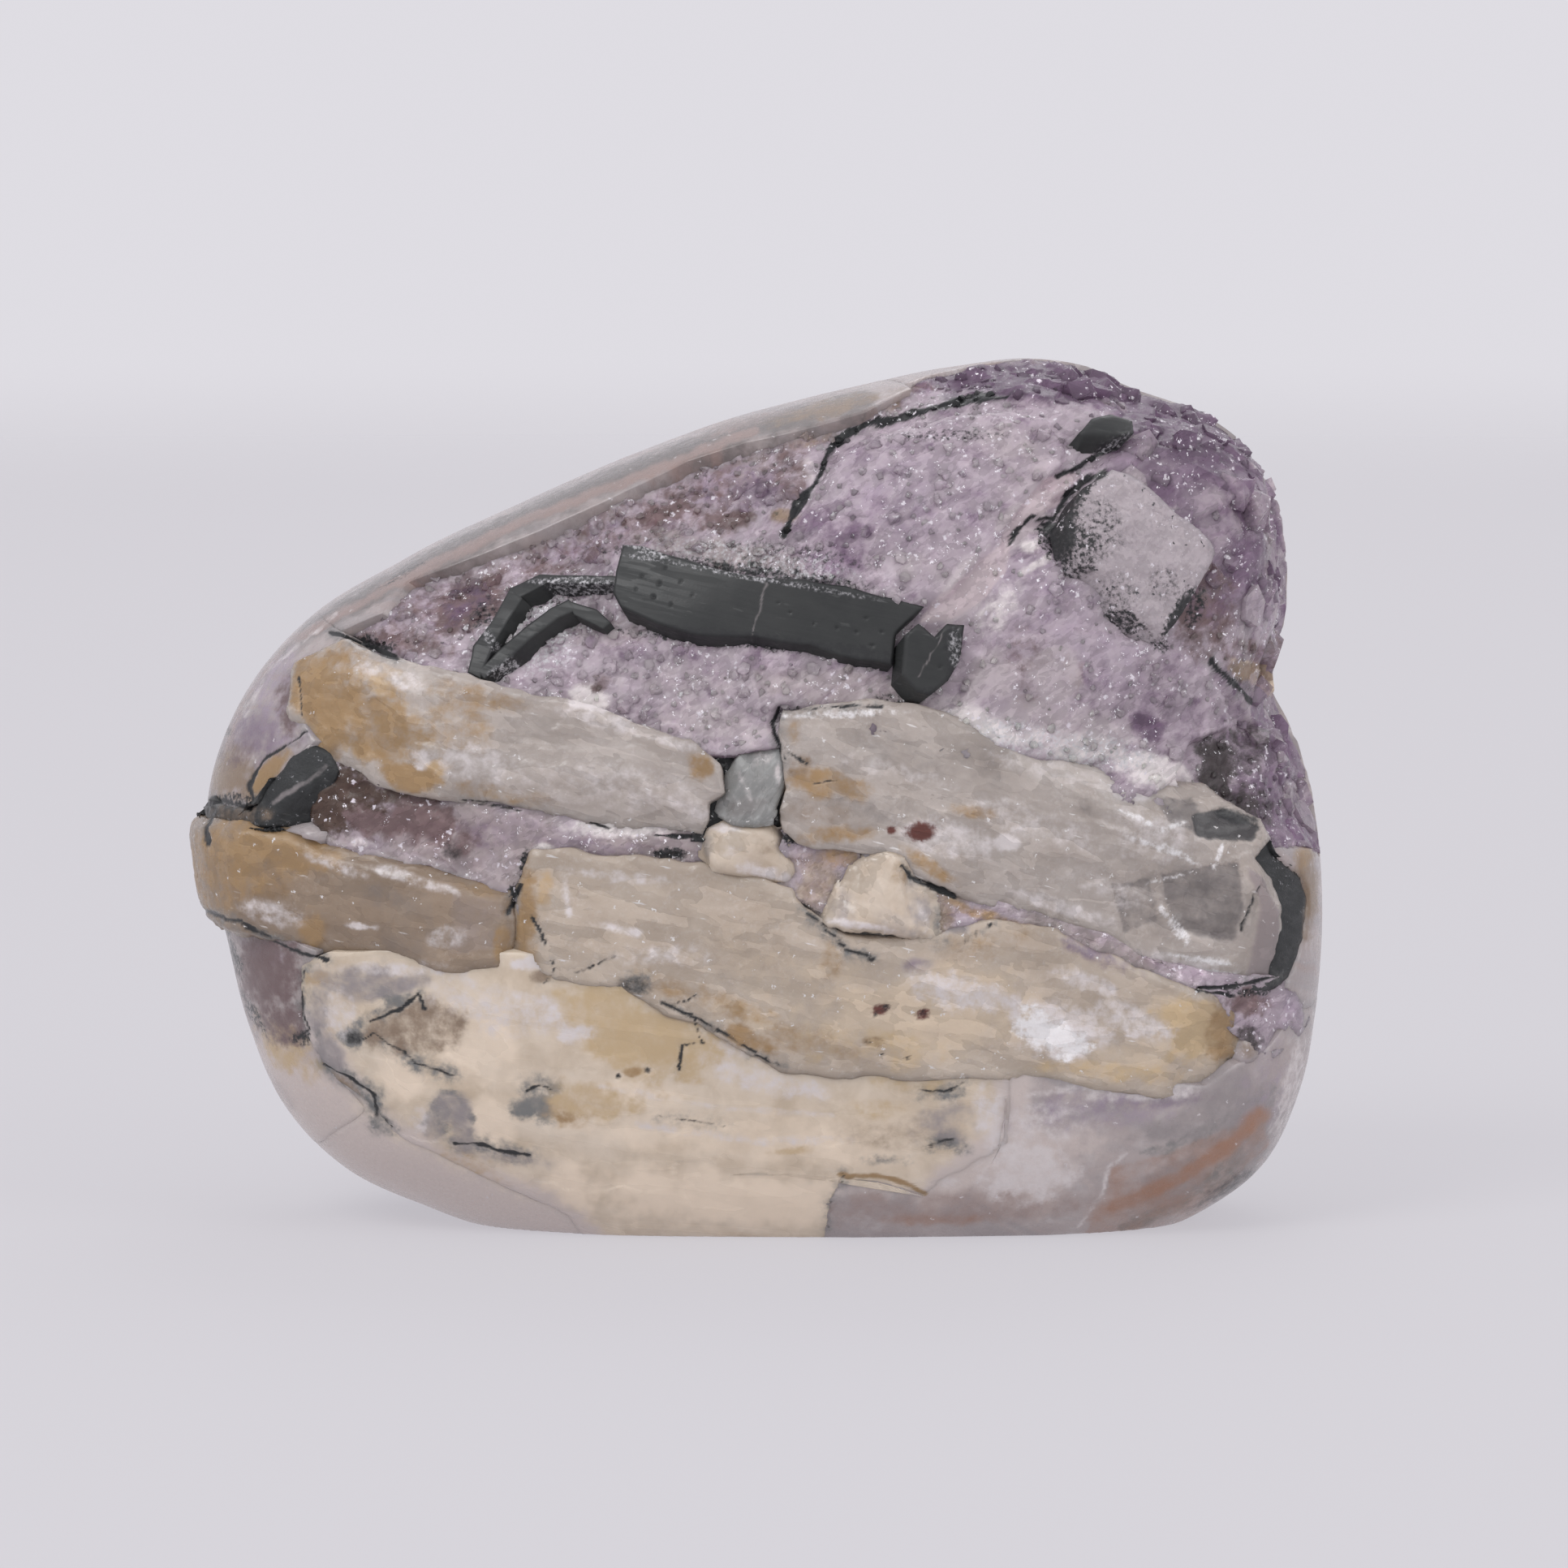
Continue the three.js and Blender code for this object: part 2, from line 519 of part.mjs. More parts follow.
setPiece('calcite_blade_upper_left', seen.upperLeft, {
  surface: swelled(0.7),
  facets: [
    { at: [-22, 50], under: -0.2, faces: [-0.1, -1, 0.24] },
    { at: [-24, 43.6], under: 0.2, faces: [-0.1, -1, -0.5] },
    { at: [-42, 52], under: -0.1, faces: [-0.62, -1, 0.1] },
  ],
}, greyCalcite);
setPiece('calcite_blade_upper_right', seen.upperRight, {
  surface: swelled(0.7),
  facets: [
    { at: [16, 46], under: -0.3, faces: [0.03, -1, 0.16] },
    { at: [46, 31], under: 0.3, faces: [0.42, -1, -0.1] },
    { at: [51.6, 28], under: 0.2, faces: [1.1, -1, -0.2] },
    { at: [46.5, 41.6], under: 0.6, faces: [0.5, -1, 0.8] },
    { at: [28, 31], under: 0.2, faces: [0.05, -1, -0.5] },
  ],
}, greyCalcite);
setPiece('calcite_blade_lower_left', seen.lowerLeft, {
  surface: swelled(2),
  back: 3,
  facets: [
    { at: [-30, 30], under: -0.2, faces: [-0.12, -1, 0.02] },
    { at: [-40, 32], under: -0.3, faces: [-0.42, -1, 0.05] },
    { at: [-50, 35], under: -0.8, faces: [-1.1, -1, 0.2] },
    { at: [-46, 28], under: 0.2, faces: [-0.5, -1, -0.8] },
    { at: [-57.8, 36], under: 0.5, faces: [-1, 0.8, 0] },
  ],
}, amberCalcite);
setPiece('calcite_blade_lower', seen.lower, {
  surface: swelled(0.7),
  facets: [
    { at: [-8, 30], under: -0.3, faces: [-0.05, -1, 0.06] },
    { at: [24, 21], under: -0.4, faces: [0.14, -1, -0.2] },
    { at: [46.6, 18], under: 0.2, faces: [0.9, -1, -0.4] },
    { at: [-23, 30], under: 0.2, faces: [-0.7, -1, 0] },
    { at: [-6, 21], under: 0.3, faces: [-0.1, -1, -0.7] },
  ],
}, greyCalcite);
setPiece('cream_calcite', seen.cream, { surface: swelled(0), back: -11 }, creamCalcite);
setPiece('amethyst_druse', seen.lining, {
  surface: liningSolid(),
  back: backDepth / 2,
  within: liningRoom,
}, amethyst);

// The stone keeps its polished skin round the rim and over the back, and its core under the
// crystals. The open places in the face go down to their own floors.
let stone = swelled(0).subtract(rooms);
hollows.forEach(({ outline, floor }) => {
  stone = stone.subtract(block(outline, 0, 0).subtract(swelled(-floor, seatDetail)));
});
addPiece('stone_body', stone.subtract(underBase), agate);

export default pieces;
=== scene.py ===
import math

import bpy
import numpy as np
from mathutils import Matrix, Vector


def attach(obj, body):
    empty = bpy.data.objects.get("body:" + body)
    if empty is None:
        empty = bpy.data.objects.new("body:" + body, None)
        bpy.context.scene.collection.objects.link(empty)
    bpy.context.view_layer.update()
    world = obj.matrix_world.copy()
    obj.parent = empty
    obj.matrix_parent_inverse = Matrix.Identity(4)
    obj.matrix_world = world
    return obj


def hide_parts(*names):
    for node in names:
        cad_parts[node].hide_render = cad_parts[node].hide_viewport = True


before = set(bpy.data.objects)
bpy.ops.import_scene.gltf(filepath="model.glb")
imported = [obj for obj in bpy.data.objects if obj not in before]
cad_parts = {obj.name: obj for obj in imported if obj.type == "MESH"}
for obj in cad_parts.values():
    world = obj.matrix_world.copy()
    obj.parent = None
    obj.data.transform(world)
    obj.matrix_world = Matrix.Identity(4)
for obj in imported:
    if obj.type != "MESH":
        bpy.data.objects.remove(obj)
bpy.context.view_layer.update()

# An agate freeform whose face opens into an amethyst hollow with calcite blades and dark bars.
# Shapes are worked out in millimetres and scaled to metres when a mesh is made.
mm = 0.001
degree = math.pi / 180
turn = 2 * math.pi
chance = np.random.default_rng(11)

# The camera comes first, as the face is measured by what it sees.

view = {
    "distance": 1200.0,         # eye to the middle of the frame
    "tilt": 6 * degree,         # how far the eye looks down
    "across": 3.0,              # x in the middle of the frame
    "up": 44.0,                 # seen height in the middle of the frame
    "frameWidth": 161.0,        # width that the frame takes in there
    "sensor": 36.0,
}
tiltCos, tiltSin = math.cos(view["tilt"]), math.sin(view["tilt"])

lens = bpy.data.cameras.new("eye")
lens.sensor_width = view["sensor"]
lens.lens = view["sensor"] * view["distance"] / view["frameWidth"]
lens.clip_start, lens.clip_end = 0.05, 50
eye = bpy.data.objects.new("eye", lens)
eye.location = (
    view["across"] * mm,
    -view["distance"] * tiltCos * mm,
    (view["up"] / tiltCos + view["distance"] * tiltSin) * mm,
)
eye.rotation_euler = (90 * degree - view["tilt"], 0, 0)
bpy.context.scene.collection.objects.link(eye)
bpy.context.scene.camera = eye
bpy.context.scene.view_settings.view_transform = "Standard"
print("camera set")

# The stone's skin

stone = {
    "heart": (0.0, 40.0),       # x and z that the outline is measured round
    "frontDepth": 28.0,
    "backDepth": 30.0,
    "frontFullness": 3.0,       # exponent of the rounding, 2 would be an ellipse
    "backFullness": 2.4,
    "meanRadius": 50.0,
    "outline": [
        (57.6, 40.5), (57, 45), (55.5, 50), (53.7, 53.5), (53.2, 56.3), (54.3, 60.2), (54.8, 67),
        (53.6, 75), (51.2, 79), (46.5, 82.4), (40, 84.8), (34, 87.1), (28, 87.9), (20, 87), (10, 84.9),
        (0, 82.4), (-12, 78.2), (-24, 73), (-36, 67.2), (-45.5, 61.4), (-51.6, 54.6), (-55, 47.5),
        (-56.2, 41), (-55.9, 35.5), (-54.1, 29), (-51.9, 20), (-48.2, 11.6), (-42, 5.2), (-33, 1),
        (-20, -3), (0, -5), (20, -5), (38, -2.5), (46.5, 1.1), (52.4, 5.8), (56, 13.4), (57.6, 22),
        (58.2, 31),
    ],
}
heartX, heartZ = stone["heart"]


def outlineRing():
    # corners as angle and radius round the heart, wrapped three corners past a full turn
    x, z = np.array(stone["outline"]).T
    angle = np.mod(np.arctan2(z - heartZ, x - heartX), turn)
    order = np.argsort(angle)
    angle, radius = angle[order], np.hypot(x - heartX, z - heartZ)[order]
    angle = np.concatenate([angle[-3:] - turn, angle, angle[:3] + turn])
    radius = np.concatenate([radius[-3:], radius, radius[:3]])
    slope = np.zeros(len(angle))
    slope[1:-1] = (radius[2:] - radius[:-2]) / (angle[2:] - angle[:-2])
    return angle, radius, slope


ringAngle, ringRadius, ringSlope = outlineRing()


def stoneRadius(angle):
    # a cubic through the two corners on either side, with the slope of their neighbours' chord
    at = np.mod(angle, turn)
    k = np.searchsorted(ringAngle, at, side="right") - 1
    width = ringAngle[k + 1] - ringAngle[k]
    t = (at - ringAngle[k]) / width
    return (
        ringRadius[k] * (2 * t**3 - 3 * t**2 + 1)
        + ringSlope[k] * width * (t**3 - 2 * t**2 + t)
        + ringRadius[k + 1] * (3 * t**2 - 2 * t**3)
        + ringSlope[k + 1] * width * (t**3 - t**2)
    )


def halfSection(depth, fullness):
    # share of radius sin(a)^(2/n), depth cos(a)^(2/n), and the length of the way from the middle
    a = np.linspace(0, math.pi / 2, 900)
    share = np.sin(a) ** (2 / fullness)
    rise = depth * np.clip(np.cos(a), 0, None) ** (2 / fullness)
    steps = np.hypot(np.diff(share) * stone["meanRadius"], np.diff(rise))
    return share, rise, np.concatenate([[0], np.cumsum(steps)])


frontShare, frontRise, frontWay = halfSection(stone["frontDepth"], stone["frontFullness"])
backShare, backRise, backWay = halfSection(stone["backDepth"], stone["backFullness"])
rimWay = frontWay[-1]


def faceDepth(x, z):
    # depth of the face at a place: full depth times (1 - share^n)^(1/n)
    away = np.hypot(x - heartX, z - heartZ)
    share = np.clip(away / stoneRadius(np.arctan2(z - heartZ, x - heartX)), 0, 1)
    n = stone["frontFullness"]
    return stone["frontDepth"] * (1 - share**n) ** (1 / n)


def onFace(u, v):
    # x and z of a seen place: its depth is found by trying again with each better place
    u, v = np.asarray(u, float) - view["across"], np.asarray(v, float) - view["up"]
    far = view["distance"]
    depth = np.full(u.shape, stone["frontDepth"] / 2)
    for _ in range(12):
        rise = (v * (far - depth * tiltCos) + far * depth * tiltSin) / (far * tiltCos + v * tiltSin)
        x = view["across"] + u * (far - depth * tiltCos - rise * tiltSin) / far
        z = view["up"] / tiltCos + rise
        depth = (depth + faceDepth(x, z)) / 2
    return x, z


def seenAt(points):
    # where the eye sees points: sideways and upward offset shrunk by the distance along its axis
    x, y, z = points[..., 0], points[..., 1], points[..., 2] - view["up"] / tiltCos
    nearer = view["distance"] / (view["distance"] + y * tiltCos - z * tiltSin)
    u = view["across"] + (x - view["across"]) * nearer
    return u, view["up"] + (y * tiltSin + z * tiltCos) * nearer


def skinMap(x, z):
    # The face unrolled: the same angle round the heart, at the length of the way over the skin.
    # What lies beyond the rim goes as far behind it.
    angle = np.arctan2(z - heartZ, x - heartX)
    away, radius = np.hypot(x - heartX, z - heartZ), stoneRadius(angle)
    way = np.interp(away / radius, frontShare, frontWay) + np.clip(away - radius, 0, None)
    return way * np.cos(angle), way * np.sin(angle)


def skinPoint(p, q, swell=0.0):
    # back from the unrolled skin: over the face to the rim, then on over the back
    way, angle = np.hypot(p, q), np.arctan2(q, p)
    left = np.clip(backWay[-1] - (way - rimWay), 0, None)
    onFront = way <= rimWay
    share = np.where(
        onFront, np.interp(way, frontWay, frontShare), np.interp(left, backWay, backShare)
    )
    y = np.where(
        onFront,
        -np.interp(way, frontWay, frontRise) * (1 + swell / stone["frontDepth"]),
        np.interp(left, backWay, backRise) * (1 + swell / stone["backDepth"]),
    )
    radius = (stoneRadius(angle) + swell) * share
    return np.stack(
        [heartX + radius * np.cos(angle), y, heartZ + radius * np.sin(angle)], axis=-1
    )


# Noise, lines and patches

noiseBlock = chance.random((40, 40, 40))


def grain(x, y, z, size, seed=0):
    # a random value at each corner of a lattice, blended smoothly across its cells, 0 to 1
    at = np.stack([x / size + seed * 7.31, y / size + seed * 3.17, z / size + seed * 5.71])
    cell = np.floor(at)
    f = at - cell
    f = f * f * (3 - 2 * f)
    i, j, k = cell.astype(int) % 40
    total = 0
    for a in (0, 1):
        for b in (0, 1):
            for c in (0, 1):
                part = (f[0] if a else 1 - f[0]) * (f[1] if b else 1 - f[1])
                part = part * (f[2] if c else 1 - f[2])
                total = total + part * noiseBlock[(i + a) % 40, (j + b) % 40, (k + c) % 40]
    return total


def cloudy(x, y, z, size, octaves=4, seed=0):
    # the noise added to finer and fainter copies of itself, about -1 to 1
    total, share = 0, 1.0
    for octave in range(octaves):
        total = total + share * (grain(x, y, z, size / 2**octave, seed + octave) * 2 - 1)
        share *= 0.5
    return total / (2 - 2 * share)


def ease(value, low=0.0, high=1.0):
    # 0 under low, 1 over high, and an S-shaped step between
    t = np.clip((value - low) / (high - low), 0, 1)
    return t * t * (3 - 2 * t)


def lineDistance(u, v, line):
    # the shortest distance to a broken line
    best = np.full(np.shape(u), 1e9)
    for (au, av), (bu, bv) in zip(line, line[1:]):
        du, dv = bu - au, bv - av
        t = np.clip(((u - au) * du + (v - av) * dv) / (du * du + dv * dv + 1e-9), 0, 1)
        best = np.minimum(best, np.hypot(u - au - t * du, v - av - t * dv))
    return best


def insideDistance(u, v, outline):
    # the distance to a closed outline, positive inside: each edge to the right flips the side
    inside = np.zeros(np.shape(u), bool)
    closed = [*outline, outline[0]]
    for (au, av), (bu, bv) in zip(closed, closed[1:]):
        if av != bv:
            crosses = ((av > v) != (bv > v)) & (u < (bu - au) * (v - av) / (bv - av) + au)
            inside ^= crosses
    return np.where(inside, 1, -1) * lineDistance(u, v, closed)


def patches(u, v, places, seed=0):
    # the strongest of several soft ovals with frayed edges: (across, up, half width, half height,
    # strength, turn in degrees), the last two 1 and 0 where they are left out
    fray = 0.5 * cloudy(u, v, u * 0 + seed * 9.3, 3.6, 3, seed)
    fray += 0.4 * cloudy(u, v, u * 0 + seed * 4.1, 0.9, 3, seed + 5)
    best = np.zeros(np.shape(u))
    for at, rise, wide, high, *rest in places:
        strength, tilt = rest + [1, 0][len(rest):]
        tilt *= degree
        a = (u - at) * math.cos(tilt) + (v - rise) * math.sin(tilt)
        b = -(u - at) * math.sin(tilt) + (v - rise) * math.cos(tilt)
        oval = np.hypot(a / wide, b / high) + fray
        best = np.maximum(best, strength * ease(1.5 - oval, 0, 1.0))
    return best


def onPanel(u, v, outline):
    # 1 inside an outline and 0 outside, over a crisp and slightly uneven border
    wander = 0.3 * cloudy(u, v, u * 0, 1.1, 3, 12)
    return ease(insideDistance(u, v, outline) + wander, -0.15, 0.25)


def marksOf(form, u, v):
    # One value for each place and kind of mark: stains, and in a few places painted shade. A band is
    # soft and follows a line, a panel fills an outline, a vein is thin and black, with a grey halo.
    marks = {
        name: patches(u, v, places, k) for k, (name, places) in enumerate(form["stains"].items())
    }
    waverU = u + 0.35 * cloudy(u, v, u * 0, 1.4, 3, 5)
    waverV = v + 0.35 * cloudy(u, v, u * 0, 1.4, 3, 6)
    for name, line, width, strength in form.get("bands", []):
        band = strength * ease(1 - lineDistance(waverU, waverV, line) / width, 0, 0.8)
        marks[name] = np.maximum(marks.get(name, 0), band)
    for name, strength, high, outline in form.get("panels", []):
        panel = strength * onPanel(u, v, outline)
        marks[name] = np.maximum(marks.get(name, 0), panel)
    soot, halo = marks.get("soot", np.zeros(np.shape(u))), marks.get("slateAndShade", 0)
    broken = cloudy(u, v, u * 0, 1.7, 3, 8)
    for line, width, shade in veins:
        reach = lineDistance(waverU, waverV, line)
        soot = np.maximum(soot, ease(width * (0.55 + 0.7 * broken) - reach, -0.1, 0.1))
        halo = np.maximum(halo, shade * np.exp(-((reach / 1.0) ** 2)))
    return {**marks, "soot": soot, "slateAndShade": halo + np.zeros(np.shape(u))}


def behindRim(points):
    # 0 on the face and 1 behind the rim
    return ease(points[..., 1], -12, 3)


def chips(a, b, long, wide, seed):
    # Every place belongs to the nearest of one scattered point in each cell around it. Gives a
    # level with a slope of its own for each point's field, how near its border is, and its tone.
    a, b = a / long, b / wide
    i, j = np.floor(a).astype(int), np.floor(b).astype(int)
    nearest, following = np.full(a.shape, 9.0), np.full(a.shape, 9.0)
    level, tone = np.zeros(a.shape), np.zeros(a.shape)
    for di in (-1, 0, 1):
        for dj in (-1, 0, 1):
            near = noiseBlock[(i + di) % 40, (j + dj) % 40]
            pick = [near[..., (seed + k) % 40] for k in range(6)]
            da, db = a - i - di - pick[0], b - j - dj - pick[1]
            away = np.hypot(da, db)
            closer = away < nearest
            following = np.where(closer, nearest, np.minimum(following, away))
            nearest = np.where(closer, away, nearest)
            plane = pick[4] - 0.5 + 1.8 * ((pick[2] - 0.5) * da + (pick[3] - 0.5) * db)
            level = np.where(closer, plane, level)
            tone = np.where(closer, pick[5], tone)
    return level, following - nearest, tone


def chipped(u, v, chip):
    # chips along one direction, with borders bent by noise: (long, wide, turn, height, seed)
    long, wide, tilt, height, seed = chip
    c, s = math.cos(tilt * degree), math.sin(tilt * degree)
    a, b = u * c + v * s, v * c - u * s
    a = a + 0.25 * long * cloudy(u, v, u * 0, long * 0.8, 2, seed)
    b = b + 0.25 * wide * cloudy(u, v, u * 0, wide * 0.8, 2, seed + 3)
    level, gap, tone = chips(a, b, long, wide, seed)
    return height * level, gap, tone


# Meshes


def makePiece(name, node, look, points, faceSets, marks, smoothFaces):
    mesh = bpy.data.meshes.new(name)
    faces = [face for faceSet in faceSets for face in faceSet]
    mesh.from_pydata((points * mm).tolist(), [], faces)
    mesh.polygons.foreach_set("use_smooth", np.arange(len(faces)) < smoothFaces)
    for mark, values in marks.items():
        attribute = mesh.attributes.new(mark, "FLOAT", "POINT")
        attribute.data.foreach_set("value", np.asarray(values, np.float32).ravel())
    mesh.materials.append(look)
    mesh.update()
    piece = bpy.data.objects.new(name, mesh)
    bpy.context.scene.collection.objects.link(piece)
    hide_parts(node)
    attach(piece, "root")
    print(name, "made:", sum(len(face) - 2 for face in faces), "triangles")


def evenly(line, count):
    # points at even lengths of the way along a line
    line = np.array(line, float)
    way = np.concatenate([[0], np.cumsum(np.hypot(*np.diff(line, axis=0).T))])
    at = np.linspace(0, way[-1], count)
    return np.interp(at, way, line[:, 0]), np.interp(at, way, line[:, 1])


def lengthOf(line):
    return np.hypot(*np.diff(np.array(line, float), axis=0).T).sum()


def widened(outline, by):
    # each corner of a clockwise outline pushed out along the middle of its two edges' normals
    at = np.array(outline, float)
    edge = np.roll(at, -1, axis=0) - at
    normal = np.stack([-edge[:, 1], edge[:, 0]], axis=1) / np.hypot(*edge.T)[:, None]
    corner = normal + np.roll(normal, 1, axis=0)
    return at + by * corner / np.linalg.norm(corner, axis=1, keepdims=True)


def spread(form):
    # the sheet over a piece's outline, which is first pushed out and unrolled
    unrolled = list(zip(*skinMap(*onFace(*widened(form["outline"], form["widened"]).T))))
    sides = fourSides(unrolled, form["corners"])
    return spreadBetween(*sides, form["spacing"], ragged=form["ragged"])


def fourSides(outline, corners):
    # outline runs clockwise, corners are its top left, top right, bottom right and bottom left
    a, b, c, d = corners
    ring = outline + outline
    count = len(outline)

    def cut(start, end):
        return ring[start:end + 1] if end > start else ring[start:end + count + 1]

    return cut(c, d)[::-1], cut(b, c)[::-1], cut(a, b), cut(d, a)


def spreadBetween(lower, right, upper, left, spacing, rows=0, ragged=0.5):
    # Four-sided patch on the unrolled skin: the blend of the lower and upper side, plus that of the
    # left and right side, less the blend of the four corners. Noise bends it all.
    columns = max(int(max(lengthOf(lower), lengthOf(upper)) / spacing), 4) + 1
    rows = rows or max(int(max(lengthOf(left), lengthOf(right)) / spacing), 4) + 1
    s = np.linspace(0, 1, columns)[None, :]
    t = np.linspace(0, 1, rows)[:, None]
    sheet = []
    for low, high, west, east in zip(
        evenly(lower, columns), evenly(upper, columns), evenly(left, rows), evenly(right, rows)
    ):
        across = (1 - t) * low[None, :] + t * high[None, :]
        upward = (1 - s) * west[:, None] + s * east[:, None]
        flat = (1 - t) * ((1 - s) * low[0] + s * low[-1]) + t * ((1 - s) * high[0] + s * high[-1])
        sheet.append(across + upward - flat)
    p, q = sheet
    away = ragged * cloudy(p, q, p * 0, 2.6, 4, 21)
    along = ragged * cloudy(p, q, p * 0, 2.6, 4, 27)
    return p + away, q + along


def facing(points):
    # the way each place of a grid faces: its step to the right times its step up
    right = np.gradient(points, axis=1)
    up = np.gradient(points, axis=0)
    out = np.cross(right, up)
    return out / (np.linalg.norm(out, axis=-1, keepdims=True) + 1e-9)


def cutFacets(points, facets):
    # each facet keeps what lies behind its plane, with the edge worn round on both sides
    wear = 0.6
    x, y, z = (points[..., k].copy() for k in range(3))
    for (across, up), under, faces in facets:
        fx, fz = onFace(across, up)
        plane = under - faceDepth(fx, fz) - (faces[0] * (x - fx) + faces[2] * (z - fz)) / faces[1]
        apart = (y - plane) / wear
        y = np.where(np.abs(apart) < 1, y + (1 - apart) ** 2 * wear / 4, np.maximum(y, plane))
    return np.stack([x, y, z], axis=-1)


def closeSheet(points, seat, marks):
    # a wall from the sheet's edge towards the heart of the stone, and a strip of faces behind it
    rows, columns = points.shape[:2]
    index = np.arange(rows * columns).reshape(rows, columns)
    front = np.stack([index[:-1, :-1], index[:-1, 1:], index[1:, 1:], index[1:, :-1]], axis=-1)
    edge = np.concatenate([index[0, :-1], index[:-1, -1], index[-1, :0:-1], index[:0:-1, 0]])
    rim = points.reshape(-1, 3)[edge]
    inward = np.array([heartX, 0, heartZ]) - rim
    inward = inward / np.linalg.norm(inward, axis=1, keepdims=True)
    behind = rim + inward * seat
    ring = rows * columns + np.arange(len(edge))
    wall = np.stack([np.roll(edge, -1), edge, ring, np.roll(ring, -1)], axis=-1)
    lower, right = ring[:columns], ring[columns - 1:columns + rows - 1]
    upper = ring[columns + rows - 2:2 * columns + rows - 2][::-1]
    left = np.concatenate([ring[:1], ring[2 * columns + rows - 3:][::-1]])
    strip = [
        [lower[k], upper[k], upper[k + 1], lower[k + 1]] for k in range(1, columns - 2)
    ]
    ends = [
        [*left, upper[1], lower[1]],
        [lower[-2], upper[-2], *right[::-1]],
    ]
    faceSets = [front.reshape(-1, 4).tolist(), wall.tolist(), strip, ends]
    marks = {name: np.concatenate([m.ravel(), m.ravel()[edge]]) for name, m in marks.items()}
    return np.concatenate([points.reshape(-1, 3), behind]), faceSets, marks


def ringFaces(rows, columns):
    # the number of each point of a grid of closed rings, that of the next one, and the faces
    index = np.arange(rows * columns).reshape(rows, columns)
    after = np.roll(index, -1, axis=1)
    quads = np.stack([index[:-1], index[1:], after[1:], after[:-1]], axis=-1).reshape(-1, 4)
    return index, after, quads.tolist()


def ringOf(p, q):
    # the border of a grid, every fourth point of it
    sides = [(p[k], q[k]) for k in (
        np.s_[0, :-1], np.s_[:-1, -1], np.s_[-1, :0:-1], np.s_[:0:-1, 0],
    )]
    return list(zip(*(np.concatenate(side)[::4] for side in zip(*sides))))


def makeCrystal(form, look):
    # the skin swelled out, cut by facets, then raised by bumps, chips and rounding along the way
    # that each place faces
    form = {**crystal, **form}
    p, q = spread(form)
    points = cutFacets(skinPoint(p, q, form["swell"]), form["facets"])
    out = facing(points)
    u, v = seenAt(points)
    ahead = 1 - form["fades"] * behindRim(points)
    marks = {name: ahead * mark for name, mark in marksOf(form, u, v).items()}
    raised = np.zeros(u.shape)
    for k, (size, height) in enumerate(form["bumps"]):
        raised += height * cloudy(*np.moveaxis(points, -1, 0), size, 3, 31 + k)
    calm = 1 - patches(u, v, form["calm"], 30)
    edge, flake = np.zeros(u.shape), np.zeros(u.shape)
    for k, chip in enumerate(form["chips"]):
        level, gap, tone = chipped(u, v, chip)
        raised += level * calm
        edge = np.maximum(edge, 1 - ease(gap, 0.02, 0.12))
        flake += tone / len(form["chips"])
    inward = insideDistance(p, q, ringOf(p, q))
    drop, width = form["rounding"]
    raised -= drop * (1 - ease(inward, 0, width)) ** 2
    raised -= form["seamDepth"] * marks["soot"]
    for name, strength, high, outline in form["panels"]:
        raised += high * onPanel(u, v, outline)
    for at, rise, wide, deep in form["pits"]:
        raised -= deep * np.exp(-(((u - at) ** 2 + (v - rise) ** 2) / wide**2) ** 2)
        marks["soot"] = np.maximum(marks["soot"], 1.2 - np.hypot(u - at, v - rise) / wide)
    points = points + out * raised[..., None]
    points[..., 2] = np.maximum(points[..., 2], 0)
    marks.update({"edge": edge * calm, "flake": flake})
    points, faceSets, marks = closeSheet(points, form["seat"], marks)
    makePiece(
        form["name"], form["node"], look, points, faceSets, marks, len(faceSets[0])
    )


# what a crystal has unless its own dictionary says otherwise
crystal = {
    "swell": 0.7, "seat": 3.0, "rounding": (0.35, 0.9), "seamDepth": 0.2, "widened": 0.5,
    "ragged": 0.5, "fades": 0, "spacing": 0.24, "facets": [], "bumps": [], "chips": [],
    "calm": [], "pits": [], "bands": [], "panels": [],
}


def crystalPoints(feet, out, width, height, tone):
    # Six-sided points: a ring of feet, a ring of shoulders and a tip a little off the middle, each
    # standing along its own way out.
    count = len(feet)
    side = np.cross(out, chance.normal(size=(count, 3)))
    side /= np.linalg.norm(side, axis=1, keepdims=True)
    other = np.cross(out, side)
    angle = np.arange(6) * turn / 6
    ring = (
        side[:, None, :] * np.cos(angle)[None, :, None]
        + other[:, None, :] * np.sin(angle)[None, :, None]
    )
    uneven = 1 + 0.22 * chance.normal(size=(count, 6, 1)).clip(-1.5, 1.5)
    half = (width / 2)[:, None, None]
    foot = feet[:, None, :] + ring * half * 0.92 - out[:, None, :] * half * 1.2
    shoulder = feet[:, None, :] + ring * half * uneven + out[:, None, :] * (
        half * (0.1 + 0.25 * chance.random((count, 6, 1)))
    )
    lean = (side * chance.normal(size=(count, 1)) + other * chance.normal(size=(count, 1))) * 0.12
    tip = feet + out * height[:, None] + lean * width[:, None]
    points = np.concatenate([foot, shoulder, tip[:, None, :]], axis=1).reshape(-1, 3)
    start = (np.arange(count) * 13)[:, None]
    k = np.arange(6)
    after = (k + 1) % 6
    walls = np.stack([k, after, after + 6, k + 6], axis=-1)
    caps = np.stack([k + 6, after + 6, np.full(6, 12)], axis=-1)
    wallFaces = (start[:, :, None] + walls[None]).reshape(-1, 4)
    capFaces = (start[:, :, None] + caps[None]).reshape(-1, 3)
    soles = start + np.arange(6)[::-1][None, :]
    tip = np.concatenate([np.zeros((count, 12)), np.ones((count, 1))], axis=1) * tone[:, None]
    marks = {"flake": np.repeat(tone, 13), "edge": tip.ravel()}
    return points, [wallFaces.tolist(), capFaces.tolist(), soles.tolist()], marks
